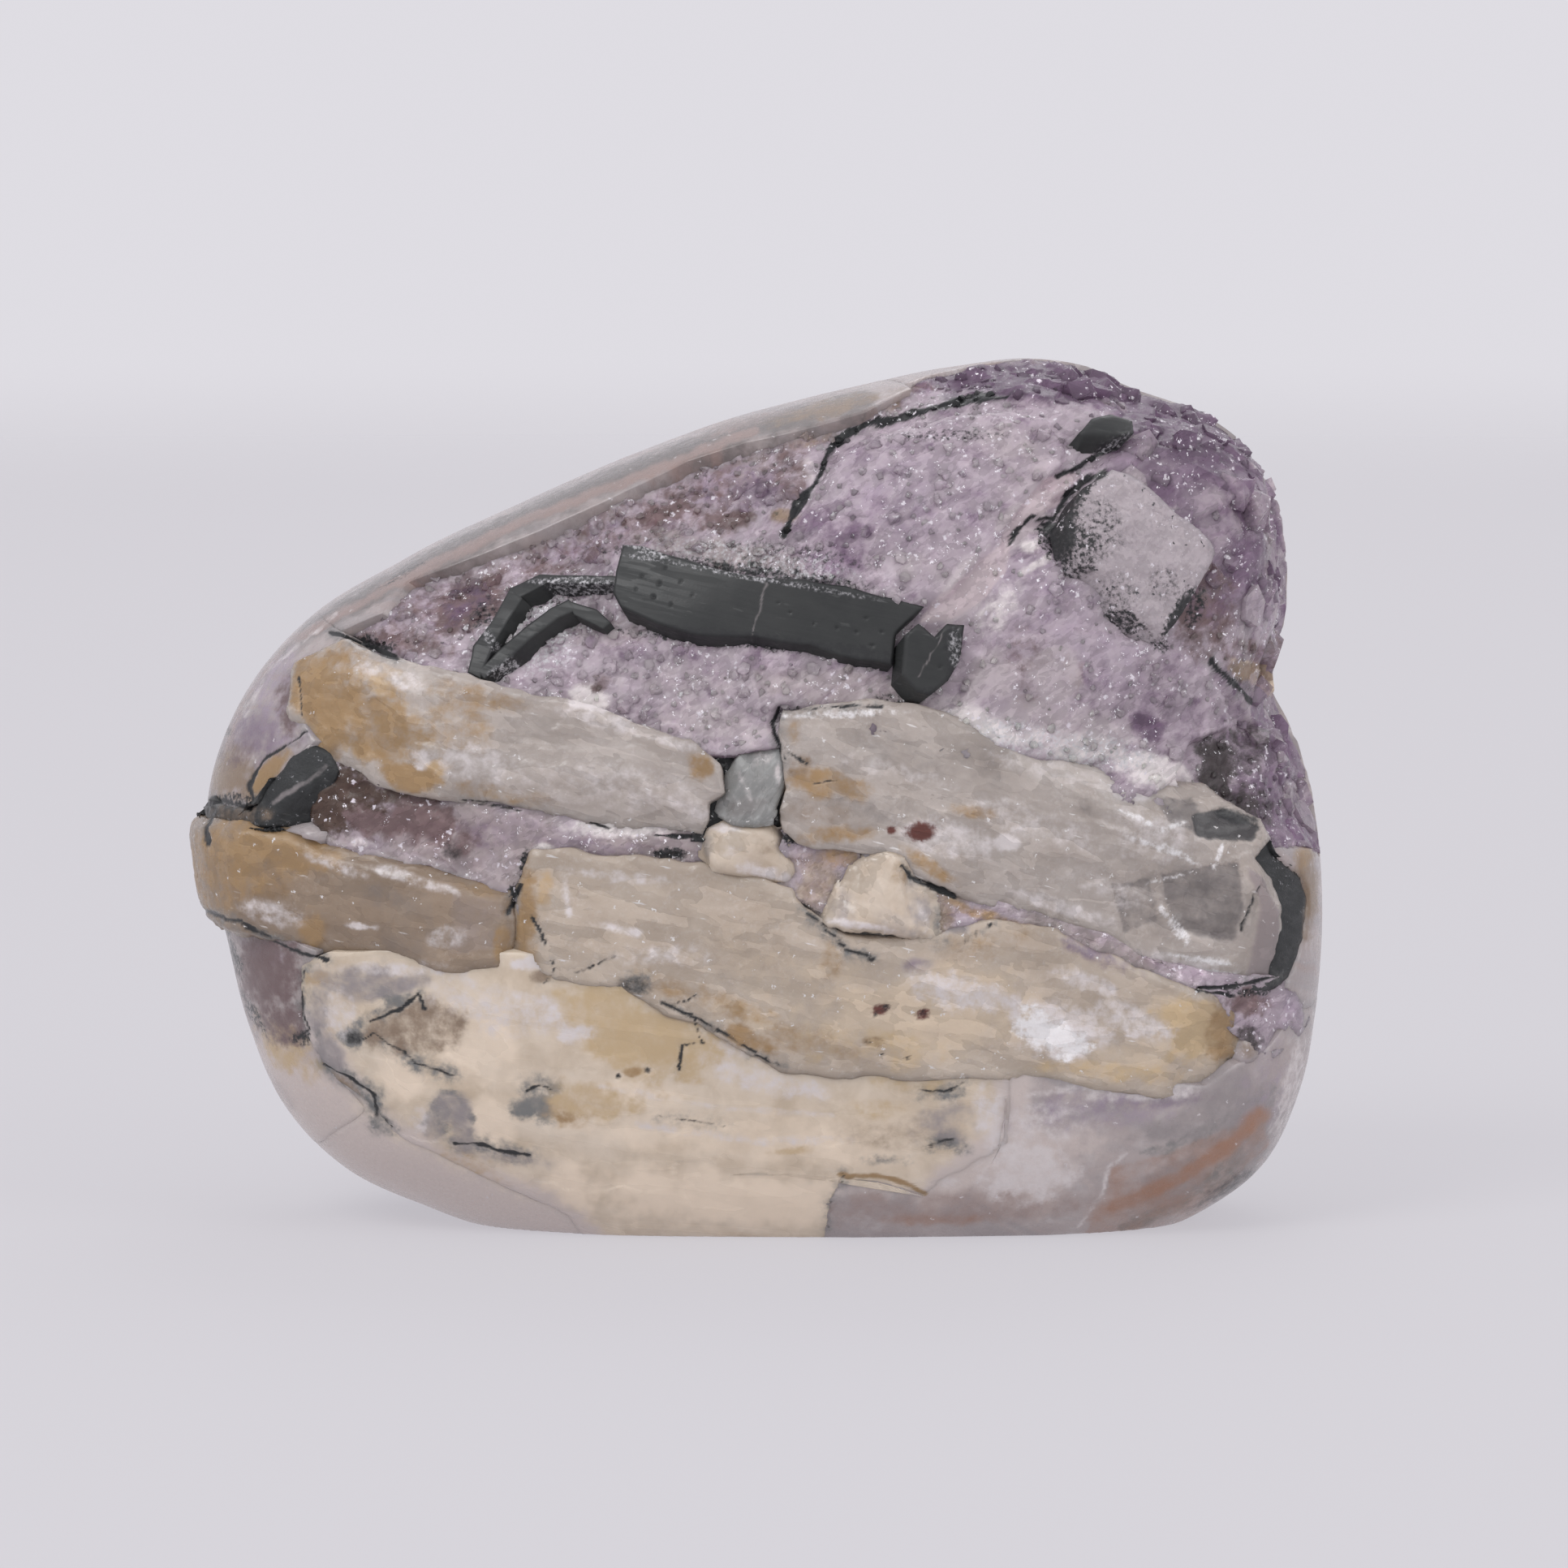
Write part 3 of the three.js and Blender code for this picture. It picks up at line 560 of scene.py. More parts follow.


# Materials

# the kinds of stain and painted shade, in the order in which they are laid: colour, and the size
# and strength of the noise that breaks it up. Four dark kinds are painted shade in a few places.
stainAndShadeKinds = {
    "peach": ((0.780, 0.655, 0.520), 5.0, 0.5),
    "haze": ((0.560, 0.485, 0.452), 3.0, 0.6),
    "slateAndShade": ((0.175, 0.175, 0.170), 1.2, 0.8),
    "smoke": ((0.155, 0.138, 0.132), 2.5, 0.6),
    "ash": ((0.285, 0.240, 0.235), 3.0, 0.4),
    "grey": ((0.275, 0.245, 0.245), 2.5, 0.6),
    "rose": ((0.300, 0.220, 0.200), 3.0, 0.5),
    "mauve": ((0.205, 0.155, 0.200), 1.6, 0.7),
    "lilac": ((0.330, 0.270, 0.325), 1.6, 0.7),
    "purple": ((0.155, 0.100, 0.155), 1.6, 0.7),
    "cream": ((0.540, 0.440, 0.330), 2.5, 0.6),
    "tan": ((0.240, 0.175, 0.124), 1.6, 0.7),
    "amber": ((0.200, 0.130, 0.072), 1.6, 0.8),
    "brown": ((0.075, 0.048, 0.038), 0.9, 0.9),
    "gold": ((0.440, 0.310, 0.175), 1.8, 0.7),
    "honey": ((0.500, 0.375, 0.225), 2.4, 0.8),
    "ochre": ((0.310, 0.200, 0.098), 1.8, 0.7),
    "orange": ((0.330, 0.170, 0.105), 4.0, 0.4),
    "bloom": ((0.640, 0.590, 0.580), 1.4, 0.8),
    "white": ((0.780, 0.760, 0.760), 0.8, 1.1),
    "silk": ((0.420, 0.365, 0.380), 2.0, 0.6),
    "pane": ((0.450, 0.375, 0.390), 1.6, 0.5),
    "duskAndShade": ((0.155, 0.105, 0.105), 1.4, 0.9),
    "plum": ((0.120, 0.080, 0.120), 1.8, 0.9),
    "gloomAndShadow": ((0.055, 0.045, 0.045), 1.0, 0.8),
    "rust": ((0.105, 0.030, 0.022), 0.5, 0.6),
    "glass": ((0.060, 0.057, 0.057), 1.0, 0.5),
    "soot": ((0.016, 0.017, 0.018), 0.5, 0.5),
    "gritAndShadow": ((0.016, 0.017, 0.018), 0.45, 1.6),
    "salt": ((0.480, 0.470, 0.485), 0.4, 1.8),
}


def addNode(tree, kind, settings=None, inputs=None):
    made = tree.nodes.new(kind)
    for name, value in (settings or {}).items():
        setattr(made, name, value)
    for name, value in (inputs or {}).items():
        socket = made.inputs[name]
        if isinstance(value, bpy.types.NodeSocket):
            tree.links.new(value, socket)
        elif isinstance(value, tuple) and len(value) == 3 and socket.type == "RGBA":
            socket.default_value = (*value, 1)
        else:
            socket.default_value = value
    return made


def mixColour(tree, share, first, second):
    return addNode(
        tree, "ShaderNodeMix", {"data_type": "RGBA"}, {0: share, 6: first, 7: second}
    ).outputs[2]


def ranged(tree, value, low, high, toLow=0.0, toHigh=1.0):
    settings = {"interpolation_type": "SMOOTHSTEP"}
    inputs = {0: value, 1: low, 2: high, 3: toLow, 4: toHigh}
    return addNode(tree, "ShaderNodeMapRange", settings, inputs).outputs[0]


def worked(tree, operation, first, second):
    settings = {"operation": operation}
    return addNode(tree, "ShaderNodeMath", settings, {0: first, 1: second}).outputs[0]


def newGroup(name, given, results):
    # an empty group with its sockets, as name and kind: Vector, Color or Float
    tree = bpy.data.node_groups.new(name, "ShaderNodeTree")
    for direction, sockets in (("INPUT", given), ("OUTPUT", results)):
        for socket, kind in sockets.items():
            tree.interface.new_socket(socket, in_out=direction, socket_type="NodeSocket" + kind)
    return tree, tree.nodes.new("NodeGroupInput").outputs, tree.nodes.new("NodeGroupOutput").inputs


def stainGroup():
    # lays a stain, also painted shade, over a colour as strongly as its mark says, broken up by noise half
    # way
    tree, given, result = newGroup("stain", {
        "Place": "Vector", "Colour": "Color", "Stain": "Color", "Mark": "Float", "Size": "Float",
        "Fray": "Float",
    }, {"Colour": "Color"})
    noise = addNode(tree, "ShaderNodeTexNoise", {}, {
        "Vector": given["Place"], "Scale": worked(tree, "DIVIDE", 1.0, given["Size"]),
        "Detail": 3.0, "Roughness": 0.65,
    }).outputs[0]
    fray = worked(tree, "MULTIPLY", worked(tree, "SUBTRACT", noise, 0.5), given["Fray"])
    rest = worked(tree, "SUBTRACT", 1.0, given["Mark"])
    halfWay = worked(tree, "MULTIPLY", worked(tree, "MULTIPLY", given["Mark"], rest), 10.0)
    fray = worked(tree, "MULTIPLY", fray, halfWay)
    share = ranged(tree, worked(tree, "ADD", given["Mark"], fray), 0.0, 1.0)
    tree.links.new(mixColour(tree, share, given["Colour"], given["Stain"]), result["Colour"])
    return tree


def specksGroup():
    # small ragged flecks at scattered points, in drifts, as many of them as the amount says
    tree, given, result = newGroup("specks", {
        "Place": "Vector", "Colour": "Color", "Speck": "Color", "Size": "Float", "Amount": "Float",
    }, {"Colour": "Color"})
    scale = worked(tree, "DIVIDE", 1.0, given["Size"])
    ragged = addNode(tree, "ShaderNodeTexNoise", {}, {
        "Vector": given["Place"], "Scale": worked(tree, "MULTIPLY", scale, 1.6), "Detail": 2.0,
    }).outputs["Color"]
    bent = addNode(tree, "ShaderNodeVectorMath", {"operation": "MULTIPLY_ADD"}, {
        0: ragged, 1: (1.1, 1.1, 1.1), 2: given["Place"],
    }).outputs[0]
    spots = addNode(tree, "ShaderNodeTexVoronoi", {}, {"Vector": bent, "Scale": scale}).outputs
    drift = addNode(tree, "ShaderNodeTexNoise", {}, {
        "Vector": given["Place"], "Scale": 0.22, "Detail": 2.0,
    }).outputs[0]
    amount = worked(tree, "MULTIPLY", given["Amount"], ranged(tree, drift, 0.35, 0.65, 0.1, 2.0))
    drawn = addNode(tree, "ShaderNodeSeparateColor", {}, {0: spots["Color"]}).outputs[0]
    chosen = worked(tree, "LESS_THAN", drawn, amount)
    reach = worked(tree, "MULTIPLY", ranged(tree, spots["Distance"], 0.42, 0.2), chosen)
    tree.links.new(mixColour(tree, reach, given["Colour"], given["Speck"]), result["Colour"])
    return tree


def mottleGroup():
    # two colours mixed by noise, with a chosen contrast
    tree, given, result = newGroup("mottle", {
        "Place": "Vector", "Colour": "Color", "Second": "Color", "Size": "Float", "Level": "Float",
        "Softness": "Float",
    }, {"Colour": "Color", "Value": "Float"})
    noise = addNode(tree, "ShaderNodeTexNoise", {}, {
        "Vector": given["Place"], "Scale": worked(tree, "DIVIDE", 1.0, given["Size"]),
        "Detail": 4.0, "Roughness": 0.6, "Distortion": 0.4,
    }).outputs[0]
    low = worked(tree, "SUBTRACT", given["Level"], given["Softness"])
    high = worked(tree, "ADD", given["Level"], given["Softness"])
    share = ranged(tree, noise, low, high)
    tree.links.new(mixColour(tree, share, given["Colour"], given["Second"]), result["Colour"])
    tree.links.new(share, result["Value"])
    return tree


def cleavageGroup():
    # boxy cells at two sizes, each a little lighter or darker than the colour it is given
    tree, given, result = newGroup("cleavage", {
        "Place": "Vector", "Colour": "Color", "Share": "Float",
    }, {"Colour": "Color", "Value": "Float"})
    bend = addNode(tree, "ShaderNodeTexNoise", {}, {"Vector": given["Place"], "Scale": 1.3}).outputs
    bent = addNode(tree, "ShaderNodeVectorMath", {"operation": "MULTIPLY_ADD"}, {
        0: bend["Color"], 1: (0.6, 0.6, 0.6), 2: given["Place"],
    }).outputs[0]
    tones = []
    for scale in (1.0, 2.7):
        cells = addNode(tree, "ShaderNodeTexVoronoi", {"distance": "CHEBYCHEV"}, {
            "Vector": bent, "Scale": scale,
        }).outputs["Color"]
        tones.append(addNode(tree, "ShaderNodeSeparateColor", {}, {0: cells}).outputs[0])
    tone = worked(tree, "MULTIPLY", worked(tree, "ADD", *tones), 0.5)
    low = worked(tree, "SUBTRACT", 1.0, given["Share"])
    high = worked(tree, "ADD", 1.0, given["Share"])
    factor = ranged(tree, tone, 0.2, 0.8, low, high)
    scaled = addNode(tree, "ShaderNodeVectorMath", {"operation": "SCALE"}, {
        0: given["Colour"], "Scale": factor,
    }).outputs[0]
    tree.links.new(scaled, result["Colour"])
    tree.links.new(tone, result["Value"])
    return tree


groups = {
    "stain": stainGroup(), "specks": specksGroup(), "mottle": mottleGroup(),
    "cleavage": cleavageGroup(),
}


def useGroup(tree, name, inputs):
    return addNode(tree, "ShaderNodeGroup", {"node_tree": groups[name]}, inputs)


def newMaterial(name):
    look = bpy.data.materials.new(name)
    look.use_nodes = True
    tree = look.node_tree
    surface = tree.nodes["Principled BSDF"]
    spot = addNode(tree, "ShaderNodeTexCoord").outputs["Object"]
    inMm = {"Scale": (1000, 1000, 1000)}
    place = addNode(tree, "ShaderNodeMapping", {}, {"Vector": spot, **inMm}).outputs[0]
    return look, tree, surface, place


def markOf(tree, name):
    return addNode(tree, "ShaderNodeAttribute", {"attribute_name": name}).outputs["Fac"]


def layStainsAndShade(tree, place, colour, forms):
    # every kind of stain and of painted shade that the given pieces have, in the order of the kinds
    used = {"slateAndShade", "soot"}.union(*(form["stains"] for form in forms))
    for form in forms:
        used |= {name for name, *rest in form.get("bands", []) + form.get("panels", [])}
    for name, (tint, size, fray) in stainAndShadeKinds.items():
        if name in used:
            colour = useGroup(tree, "stain", {
                "Place": place, "Colour": colour, "Stain": tint, "Mark": markOf(tree, name),
                "Size": size, "Fray": fray,
            }).outputs[0]
    return colour


def speckle(tree, place, colour, specks):
    for speck, size, amount in specks:
        colour = useGroup(tree, "specks", {
            "Place": place, "Colour": colour, "Speck": speck, "Size": size, "Amount": amount,
        }).outputs[0]
    return colour


def setInputs(surface, values):
    for name, value in values.items():
        surface.inputs[name].default_value = value


def glow(surface, form):
    surface.subsurface_method = "BURLEY"
    setInputs(surface, {
        "Subsurface Weight": form["glow"], "Subsurface Radius": form["glowTint"],
        "Subsurface Scale": form["glowDepth"] * mm, "IOR": form["ior"],
        "Specular IOR Level": form["shine"],
    })


def mineral(name, form, pieces):
    # Two colours shared out by noise and by the chips' own tones, long streaks, pale chip edges, the
    # pieces' stains and painted shade, the tones of cleavage cells and flecks, on a fine grained, softly
    # shining surface.
    look, tree, surface, place = newMaterial(name)
    mottle = useGroup(tree, "mottle", {
        "Place": place, "Size": form["cloud"], "Level": 0.5, "Softness": 0.22,
    }).outputs["Value"]
    share = worked(tree, "MULTIPLY", mottle, 1 - form["flakeShare"])
    flake = worked(tree, "MULTIPLY", markOf(tree, "flake"), form["flakeShare"])
    colour = mixColour(tree, worked(tree, "ADD", share, flake), form["base"], form["second"])

    def alongFibres(*scale):
        return addNode(tree, "ShaderNodeMapping", {"vector_type": "TEXTURE"}, {
            "Vector": place, "Rotation": (0, -form["fibreTurn"] * degree, 0), "Scale": scale,
        }).outputs[0]

    fibre = alongFibres(form["fibreLength"], 3, form["fibreWidth"])
    thin = alongFibres(form["scratchLength"], 1, form["scratchWidth"])
    streak = useGroup(tree, "mottle", {
        "Place": fibre, "Size": 1.0, "Level": form["streakLevel"], "Softness": 0.2,
    }).outputs["Value"]
    streaked = worked(tree, "MULTIPLY", streak, form["streakShare"])
    colour = mixColour(tree, streaked, colour, form["streak"])
    fine = addNode(tree, "ShaderNodeTexNoise", {}, {
        "Vector": place, "Scale": 1 / form["fine"], "Detail": 4.0, "Roughness": 0.7,
    }).outputs[0]
    brim = worked(tree, "MULTIPLY", markOf(tree, "edge"), ranged(tree, fine, 0.4, 0.75))
    brim = worked(tree, "MULTIPLY", brim, form["edgeShare"])
    colour = mixColour(tree, brim, colour, form["edge"])
    colour = speckle(tree, thin, colour, [(form["scratch"], 1.0, form["scratches"])])
    colour = layStainsAndShade(tree, place, colour, pieces)
    cells = useGroup(tree, "cleavage", {
        "Place": fibre, "Colour": colour, "Share": form["cellShare"],
    }).outputs
    # flecks go on last; the amethyst's pale and near-white ones are painted glints
    colour = speckle(tree, place, cells["Colour"], form["specks"])
    height = worked(tree, "ADD", fine, worked(tree, "MULTIPLY", cells["Value"], form["cellStep"]))
    bump = addNode(tree, "ShaderNodeBump", {}, {
        "Height": height, "Distance": form["relief"] * mm, "Strength": 0.8,
    }).outputs[0]
    tree.links.new(colour, surface.inputs["Base Color"])
    tree.links.new(bump, surface.inputs["Normal"])
    rough = ranged(tree, cells["Value"], 0.2, 0.8, form["rough"] - 0.1, form["rough"] + 0.12)
    tree.links.new(rough, surface.inputs["Roughness"])
    glow(surface, form)
    return look


# The calcite crystals

# black veins over all pieces: (line, width, how dark the grey beside it is)
veins = [
    ([(-30, 42.2), (-27, 41.9), (-24, 41.3)], 0.3, 0.3), ([(-16.7, 39.9), (-15, 39.4)], 0.25, 0.2),
    ([(-10.3, 38.9), (-5.5, 38.4)], 0.3, 0.3), ([(-46.7, 51), (-46.8, 55)], 0.22, 0.2),
    ([(3.3, 47.3), (5.6, 45.9)], 0.2, 0.2), ([(6, 44), (8.3, 44.5)], 0.14, 0.1),
    ([(2.6, 52), (1.8, 50.4), (2.4, 48.6), (3, 46.5)], 0.35, 0.4),
    ([(2.6, 51.5), (7, 51.8), (13, 51.9)], 0.22, 0.3), ([(50, 29), (52, 34.5)], 0.16, 0.2),
    ([(53.6, 24.2), (49, 23.2), (45.5, 23)], 0.35, 0.3),
    ([(46.8, 56.6), (48.6, 54.8), (51, 52.5)], 0.5, 0.5),
    ([
        (-57.2, 31.3), (-55.5, 30.5), (-53, 29.8), (-50.5, 28.5), (-48, 27.2), (-46.5, 26.5), (-44, 25.9),
    ], 0.42, 0.4),
    ([(-9.5, 21.5), (-6.3, 20), (-3, 18.5), (0, 16.3), (2.7, 15)], 0.3, 0.35),
    ([(-22.8, 30.2), (-21.5, 27.5)], 0.3, 0.2), ([(-9, 21.2), (-6, 22.2)], 0.22, 0.2),
    ([(-25.4, 30.6), (-24.2, 33.4)], 0.5, 0.3), ([(-18.5, 24.6), (-14.5, 26.3)], 0.14, 0.2),
    ([(5.2, 31), (6.8, 29.5), (9.5, 26.8), (12, 26)], 0.28, 0.5), ([(45.5, 22.7), (49, 22.3)], 0.3, 0.3),
    ([(15.2, 35.6), (16.2, 34.4), (18, 33.7), (20.5, 32.4)], 0.42, 0.3),
    ([(18.7, 27.5), (22, 28.2), (25, 29.9)], 0.26, 0.3),
    ([(-44.2, 15.2), (-41, 13.5), (-39, 12), (-38.8, 9), (-37.3, 8.8)], 0.24, 0.7),
    ([(-41, 17.3), (-39, 18.3), (-36.8, 16.9), (-35, 15.5), (-31, 14)], 0.16, 0.6),
    ([(-39.5, 19.5), (-37, 20.6), (-34.5, 22.3), (-34, 20.9)], 0.3, 0.5),
    ([(-30.8, 7.2), (-28, 7), (-25.5, 6.2), (-23.2, 5.9)], 0.3, 0.6),
    ([(-23.5, 12.6), (-22, 13.2), (-20.8, 12.6)], 0.2, 0.6), ([(-10, 9.8), (-3, 8.9)], 0.1, 0.25),
    ([(-6.5, 19.8), (-5.2, 17.5), (-7.5, 17.3), (-7.7, 14.5)], 0.2, 0.4),
    ([(17, 12.6), (20, 12.4), (21.4, 13.2)], 0.22, 0.5), ([(18, 6.8), (20.4, 7.6)], 0.22, 0.5),
    ([(-21.8, 23.4), (-20.6, 24.6), (-20.8, 25.8)], 0.18, 0.2),
    ([(7.5, -1.4), (7.5, 0.5), (8.8, 3), (9, 4)], 0.12, 0.3),
    ([(-46.3, 24.8), (-46.5, 21), (-45.7, 18.8), (-47, 17.8)], 0.2, 0.5),
    ([(-46, 49.3), (-48, 47.9), (-50, 46.8), (-51.5, 45), (-51.9, 43.8), (-51.5, 42)], 0.3, 0.4),
    ([(-56.9, 41.3), (-56, 38)], 0.4, 0.4), ([(-57, 42), (-54.5, 42.2), (-52, 41.6)], 0.5, 0.4),
    ([
        (3, 69.8), (3.8, 71.2), (5, 73.5), (6.3, 75), (7, 76.5), (7.5, 77.8), (8.3, 79), (9.5, 80),
        (11, 81), (13, 81.2), (16, 82), (18.5, 82.5), (21, 83.3), (24, 83.8), (26, 83.6),
    ], 0.75, 0.35),
    ([(26.3, 68.8), (27, 70.3), (28.5, 71.4), (30.8, 71.3), (32.3, 74), (34.5, 75.6), (36, 76)], 0.5, 0.4),
    ([(29.6, 70.6), (31.4, 70), (31.2, 68.4)], 0.9, 0.5),
    ([(31, 75.6), (33, 76.4), (36, 78.2), (38.4, 79.8)], 0.4, 0.3),
    ([(-43.5, 59.6), (-40.5, 58.6), (-37, 57)], 0.4, 0.5),
]

calciteLook = {
    "base": (0.325, 0.278, 0.242), "second": (0.43, 0.382, 0.348), "cloud": 7.0, "flakeShare": 0.3,
    "fibreTurn": -16, "fibreLength": 7.0, "fibreWidth": 2.8, "streak": (0.53, 0.487, 0.455),
    "streakLevel": 0.56, "streakShare": 0.2, "scratch": (0.62, 0.59, 0.57), "scratches": 0.015,
    "scratchLength": 1.6, "scratchWidth": 0.3, "edge": (0.62, 0.58, 0.56), "edgeShare": 0.3,
    "cellShare": 0.12, "cellStep": 0.8, "fine": 0.4, "relief": 0.07, "rough": 0.22,
    "specks": [((0.66, 0.64, 0.63), 0.5, 0.02)],
    "glow": 0.6, "glowTint": (1.0, 0.88, 0.8), "glowDepth": 2.5, "ior": 1.5, "shine": 0.5,
}

bladeUpperLeft = {
    "name": "bladeUpperLeft", "node": "calcite_blade_upper_left", "slot": "pale_calcite",
    "swell": 0.7,
    "outline": [
        (-46.5, 56.1), (-43.3, 57.7), (-41.4, 58.6), (-39, 57.1), (-35.5, 56), (-29.5, 54.6),
        (-23.5, 52.8), (-16.5, 51.3), (-11, 49.3), (-6.5, 48), (-4, 45.6), (-3.6, 43.4), (-5.3, 42),
        (-5.6, 38.7), (-15, 39.3), (-24, 41.4), (-32, 42.5), (-38, 44.1), (-43, 46.4), (-45.2, 48.4),
        (-46.9, 51.5),
    ],
    "corners": (0, 9, 13, 20),
    "facets": [
        ((-22, 50), -0.1, (-0.1, -1, 0.16)), ((-24, 43.6), 0.2, (-0.1, -1, -0.35)),
        ((-42, 52), -0.1, (-0.5, -1, 0.1)),
    ],
    "bumps": [(7, 0.3), (2.2, 0.15), (0.8, 0.05)],
    "chips": [(6, 2.4, -14, 0.12, 3), (2.4, 1.4, -20, 0.07, 9)],
    "stains": {
        "ochre": [
            (-43.4, 53, 4.2, 6.2, 0.85), (-38.5, 49.5, 5.5, 4, 0.75, -25), (-35.5, 45, 4, 1.4, 1, -16),
            (-44, 49.6, 2, 3), (-30.5, 53.4, 6, 1.2, 0.45, -12), (-5.4, 45.8, 1.2, 1.6, 0.7),
            (-31, 49.6, 4, 2.6, 0.4, -14), (-27, 43.2, 6, 0.9, 0.4, -10),
        ],
        "gold": [
            (-42.5, 51.5, 2.2, 1.4, 0.8, 30), (-39, 54.2, 3, 1.2, 0.6, -20), (-33, 45.6, 1.5, 0.8, 0.9),
            (-40.5, 47.4, 1.8, 1, 0.9, -20), (-44.4, 55, 1.2, 1.2, 0.8), (-36, 50, 4, 2, 0.5, -30),
        ],
        "amber": [(-45.6, 52, 1, 2.4, 0.8), (-43.6, 47.6, 1.6, 0.9, 0.8, -40), (-39, 52, 1.4, 1, 0.6)],
        "bloom": [
            (-29, 46, 5, 1.8, 0.45, -12), (-12, 43.6, 7, 2, 0.3, -10), (-34.2, 46.6, 1.2, 1.2, 0.6),
            (-16, 50.6, 5, 0.8, 0.5, -14), (-36, 54.6, 2, 0.8, 0.5, -14), (-5.8, 41.4, 1.4, 1.4, 0.4),
            (-40, 55.8, 1.4, 0.8, 0.6), (-17.4, 52.2, 2, 0.8, 0.9, -10), (-9, 48.4, 4, 0.6, 0.4, -14),
        ],
    },
    "panels": [
        ("smoke", 0.1, -0.08, [(-28, 53), (-15, 50.4), (-11, 48), (-19, 47.4), (-29, 49.8)]),
        ("gold", 0.35, 0.1, [(-41, 57.6), (-36, 55.6), (-37.5, 52.4), (-42.6, 53.6)]),
        ("bloom", 0.18, 0.08, [(-25, 46.6), (-8, 44.4), (-5.8, 42), (-12, 40.8), (-26, 43)]),
    ],
}

bladeUpperRight = {
    "name": "bladeUpperRight", "node": "calcite_blade_upper_right", "slot": "pale_calcite",
    "swell": 0.7,
    "outline": [
        (3.2, 51.3), (8, 51.4), (14, 51.7), (20, 50.8), (25.5, 48.3), (31, 46.7), (36, 45.8), (41, 43.7),
        (45.5, 43.6), (47.3, 42.2), (50.9, 40.2), (52, 38.6), (50.6, 36.3), (52.2, 34), (53.4, 30.9),
        (52.8, 23.3), (46.4, 23.6), (40.5, 24.6), (36, 27.2), (30.5, 29), (25.2, 30.7), (20.5, 32.6),
        (16.4, 34.8), (14.6, 37), (6.6, 37.7), (3.2, 39.1), (3, 41.5), (3.7, 43.6), (2.9, 47.8),
    ],
    "corners": (0, 11, 15, 25),
    "facets": [
        ((16, 46), -0.1, (0.03, -1, 0.1)), ((46, 31), 0.3, (0.3, -1, -0.1)),
        ((51.6, 28), 0.2, (0.9, -1, -0.2)), ((46.5, 41.6), 0.6, (0.5, -1, 0.7)),
        ((28, 31), 0.2, (0.05, -1, -0.3)),
    ],
    "bumps": [(8, 0.25), (2.4, 0.14), (0.8, 0.05)],
    "chips": [(8, 3.2, -16, 0.16, 5), (3.4, 1.9, -30, 0.1, 12), (1.2, 0.8, 10, 0.04, 18)],
    "calm": [(20, 46, 9, 2.4, 1, -8), (48, 39.8, 3, 1.6, 1, -10), (51.7, 29, 1.6, 5)],
    "stains": {
        "ochre": [
            (7, 44, 4.5, 1.5, 0.75, -10), (8, 38.8, 4.6, 1, 0.6, 4), (17.6, 35.8, 3, 0.9, 0.6, -35),
            (22.4, 41.2, 2.2, 0.6, 0.6, -10), (4, 49.4, 1, 1.6, 0.6),
        ],
        "amber": [(4.6, 45.4, 1, 1.6, 0.6), (24, 40.8, 0.8, 0.5, 0.6)],
        "bloom": [
            (41, 39, 4.5, 2, 0.45, -14), (30, 45.6, 8, 1.1, 0.3, -14), (14, 45.4, 6, 0.9, 0.3, -16),
            (25.8, 37.8, 1.4, 0.9, 0.9), (44, 25.2, 5, 1.1, 0.6, -10), (30, 39.5, 7, 1.8, 0.35, -16),
            (20, 38.4, 4.4, 1.8, 0.6, -14), (38.6, 43.2, 2.5, 1, 0.7, -10), (36, 33.4, 5, 1.4, 0.3, -20),
            (31, 31.6, 6, 0.7, 0.5, -18),
        ],
        "white": [
            (40.6, 37.8, 3, 0.3, 0.6, -20), (44, 36.6, 2, 0.25, 0.6, -30),
            (42.8, 39.6, 1.6, 0.25, 0.6, 20), (45.6, 26, 3, 0.3, 0.7, -8),
            (46.6, 24.6, 2.4, 0.25, 0.7, -4), (47.6, 36.4, 0.25, 1.4, 0.6, -20),
            (43, 34.4, 2.4, 0.2, 0.5, 14), (39, 40.6, 2.2, 0.25, 0.6, -25), (9, 51.2, 5, 0.4, 0.5, 2),
        ],
        "smoke": [
            (45.5, 32.8, 4.6, 2.8, 0.4, -10), (19, 46.4, 9, 2.2, 0.25, -6), (42, 30, 4, 1.6, 0.4, -20),
            (48.6, 30.6, 1.6, 3, 0.5), (12, 41.4, 6, 1.2, 0.3, -8), (34, 42, 5, 1, 0.25, -16),
        ],
        "tan": [(6.6, 41, 3.6, 1.8, 0.3, -6)],
        "rust": [(16.8, 39, 1.4, 1.0), (14, 39.3, 0.5, 0.4)],
        "soot": [(49.2, 40.8, 2.4, 0.7, 0.9, -14), (28, 29.9, 4, 0.3, 0.3, -16)],
    },
    "panels": [
        ("smoke", 0.7, -0.1, [(40.6, 42.6), (44.8, 42.6), (47, 40), (46, 38.4), (42.6, 40)]),
        ("glass", 1, -0.2, [(44.8, 41), (48.8, 41.6), (52, 39.6), (51.2, 38), (45.4, 38.4)]),
        ("smoke", 0.6, -0.15, [(36.4, 33.8), (40.6, 34.4), (41.6, 30), (38, 28.6)]),
        ("smoke", 0.7, -0.25, [(41.6, 34.8), (50, 36.2), (50.2, 31), (49.4, 27.6), (43, 29)]),
        ("ash", 0.9, 0.3, [
            (50.4, 35.6), (52, 34.6), (53.8, 31), (53.4, 23.2), (50.2, 23.4), (50.8, 27), (51.8, 31.4),
        ]),
        ("white", 0.5, 0.12, [(41.2, 31.2), (42, 31.6), (45, 28), (44.2, 27.3)]),
        ("bloom", 0.25, 0.1, [(36.5, 41.6), (44.6, 40.4), (46, 37.6), (42, 35.6), (37.6, 36.4)]),
        ("smoke", 0.2, -0.06, [(9, 50.4), (24, 48), (36, 43.6), (28, 42.6), (12, 46.4)]),
    ],
}

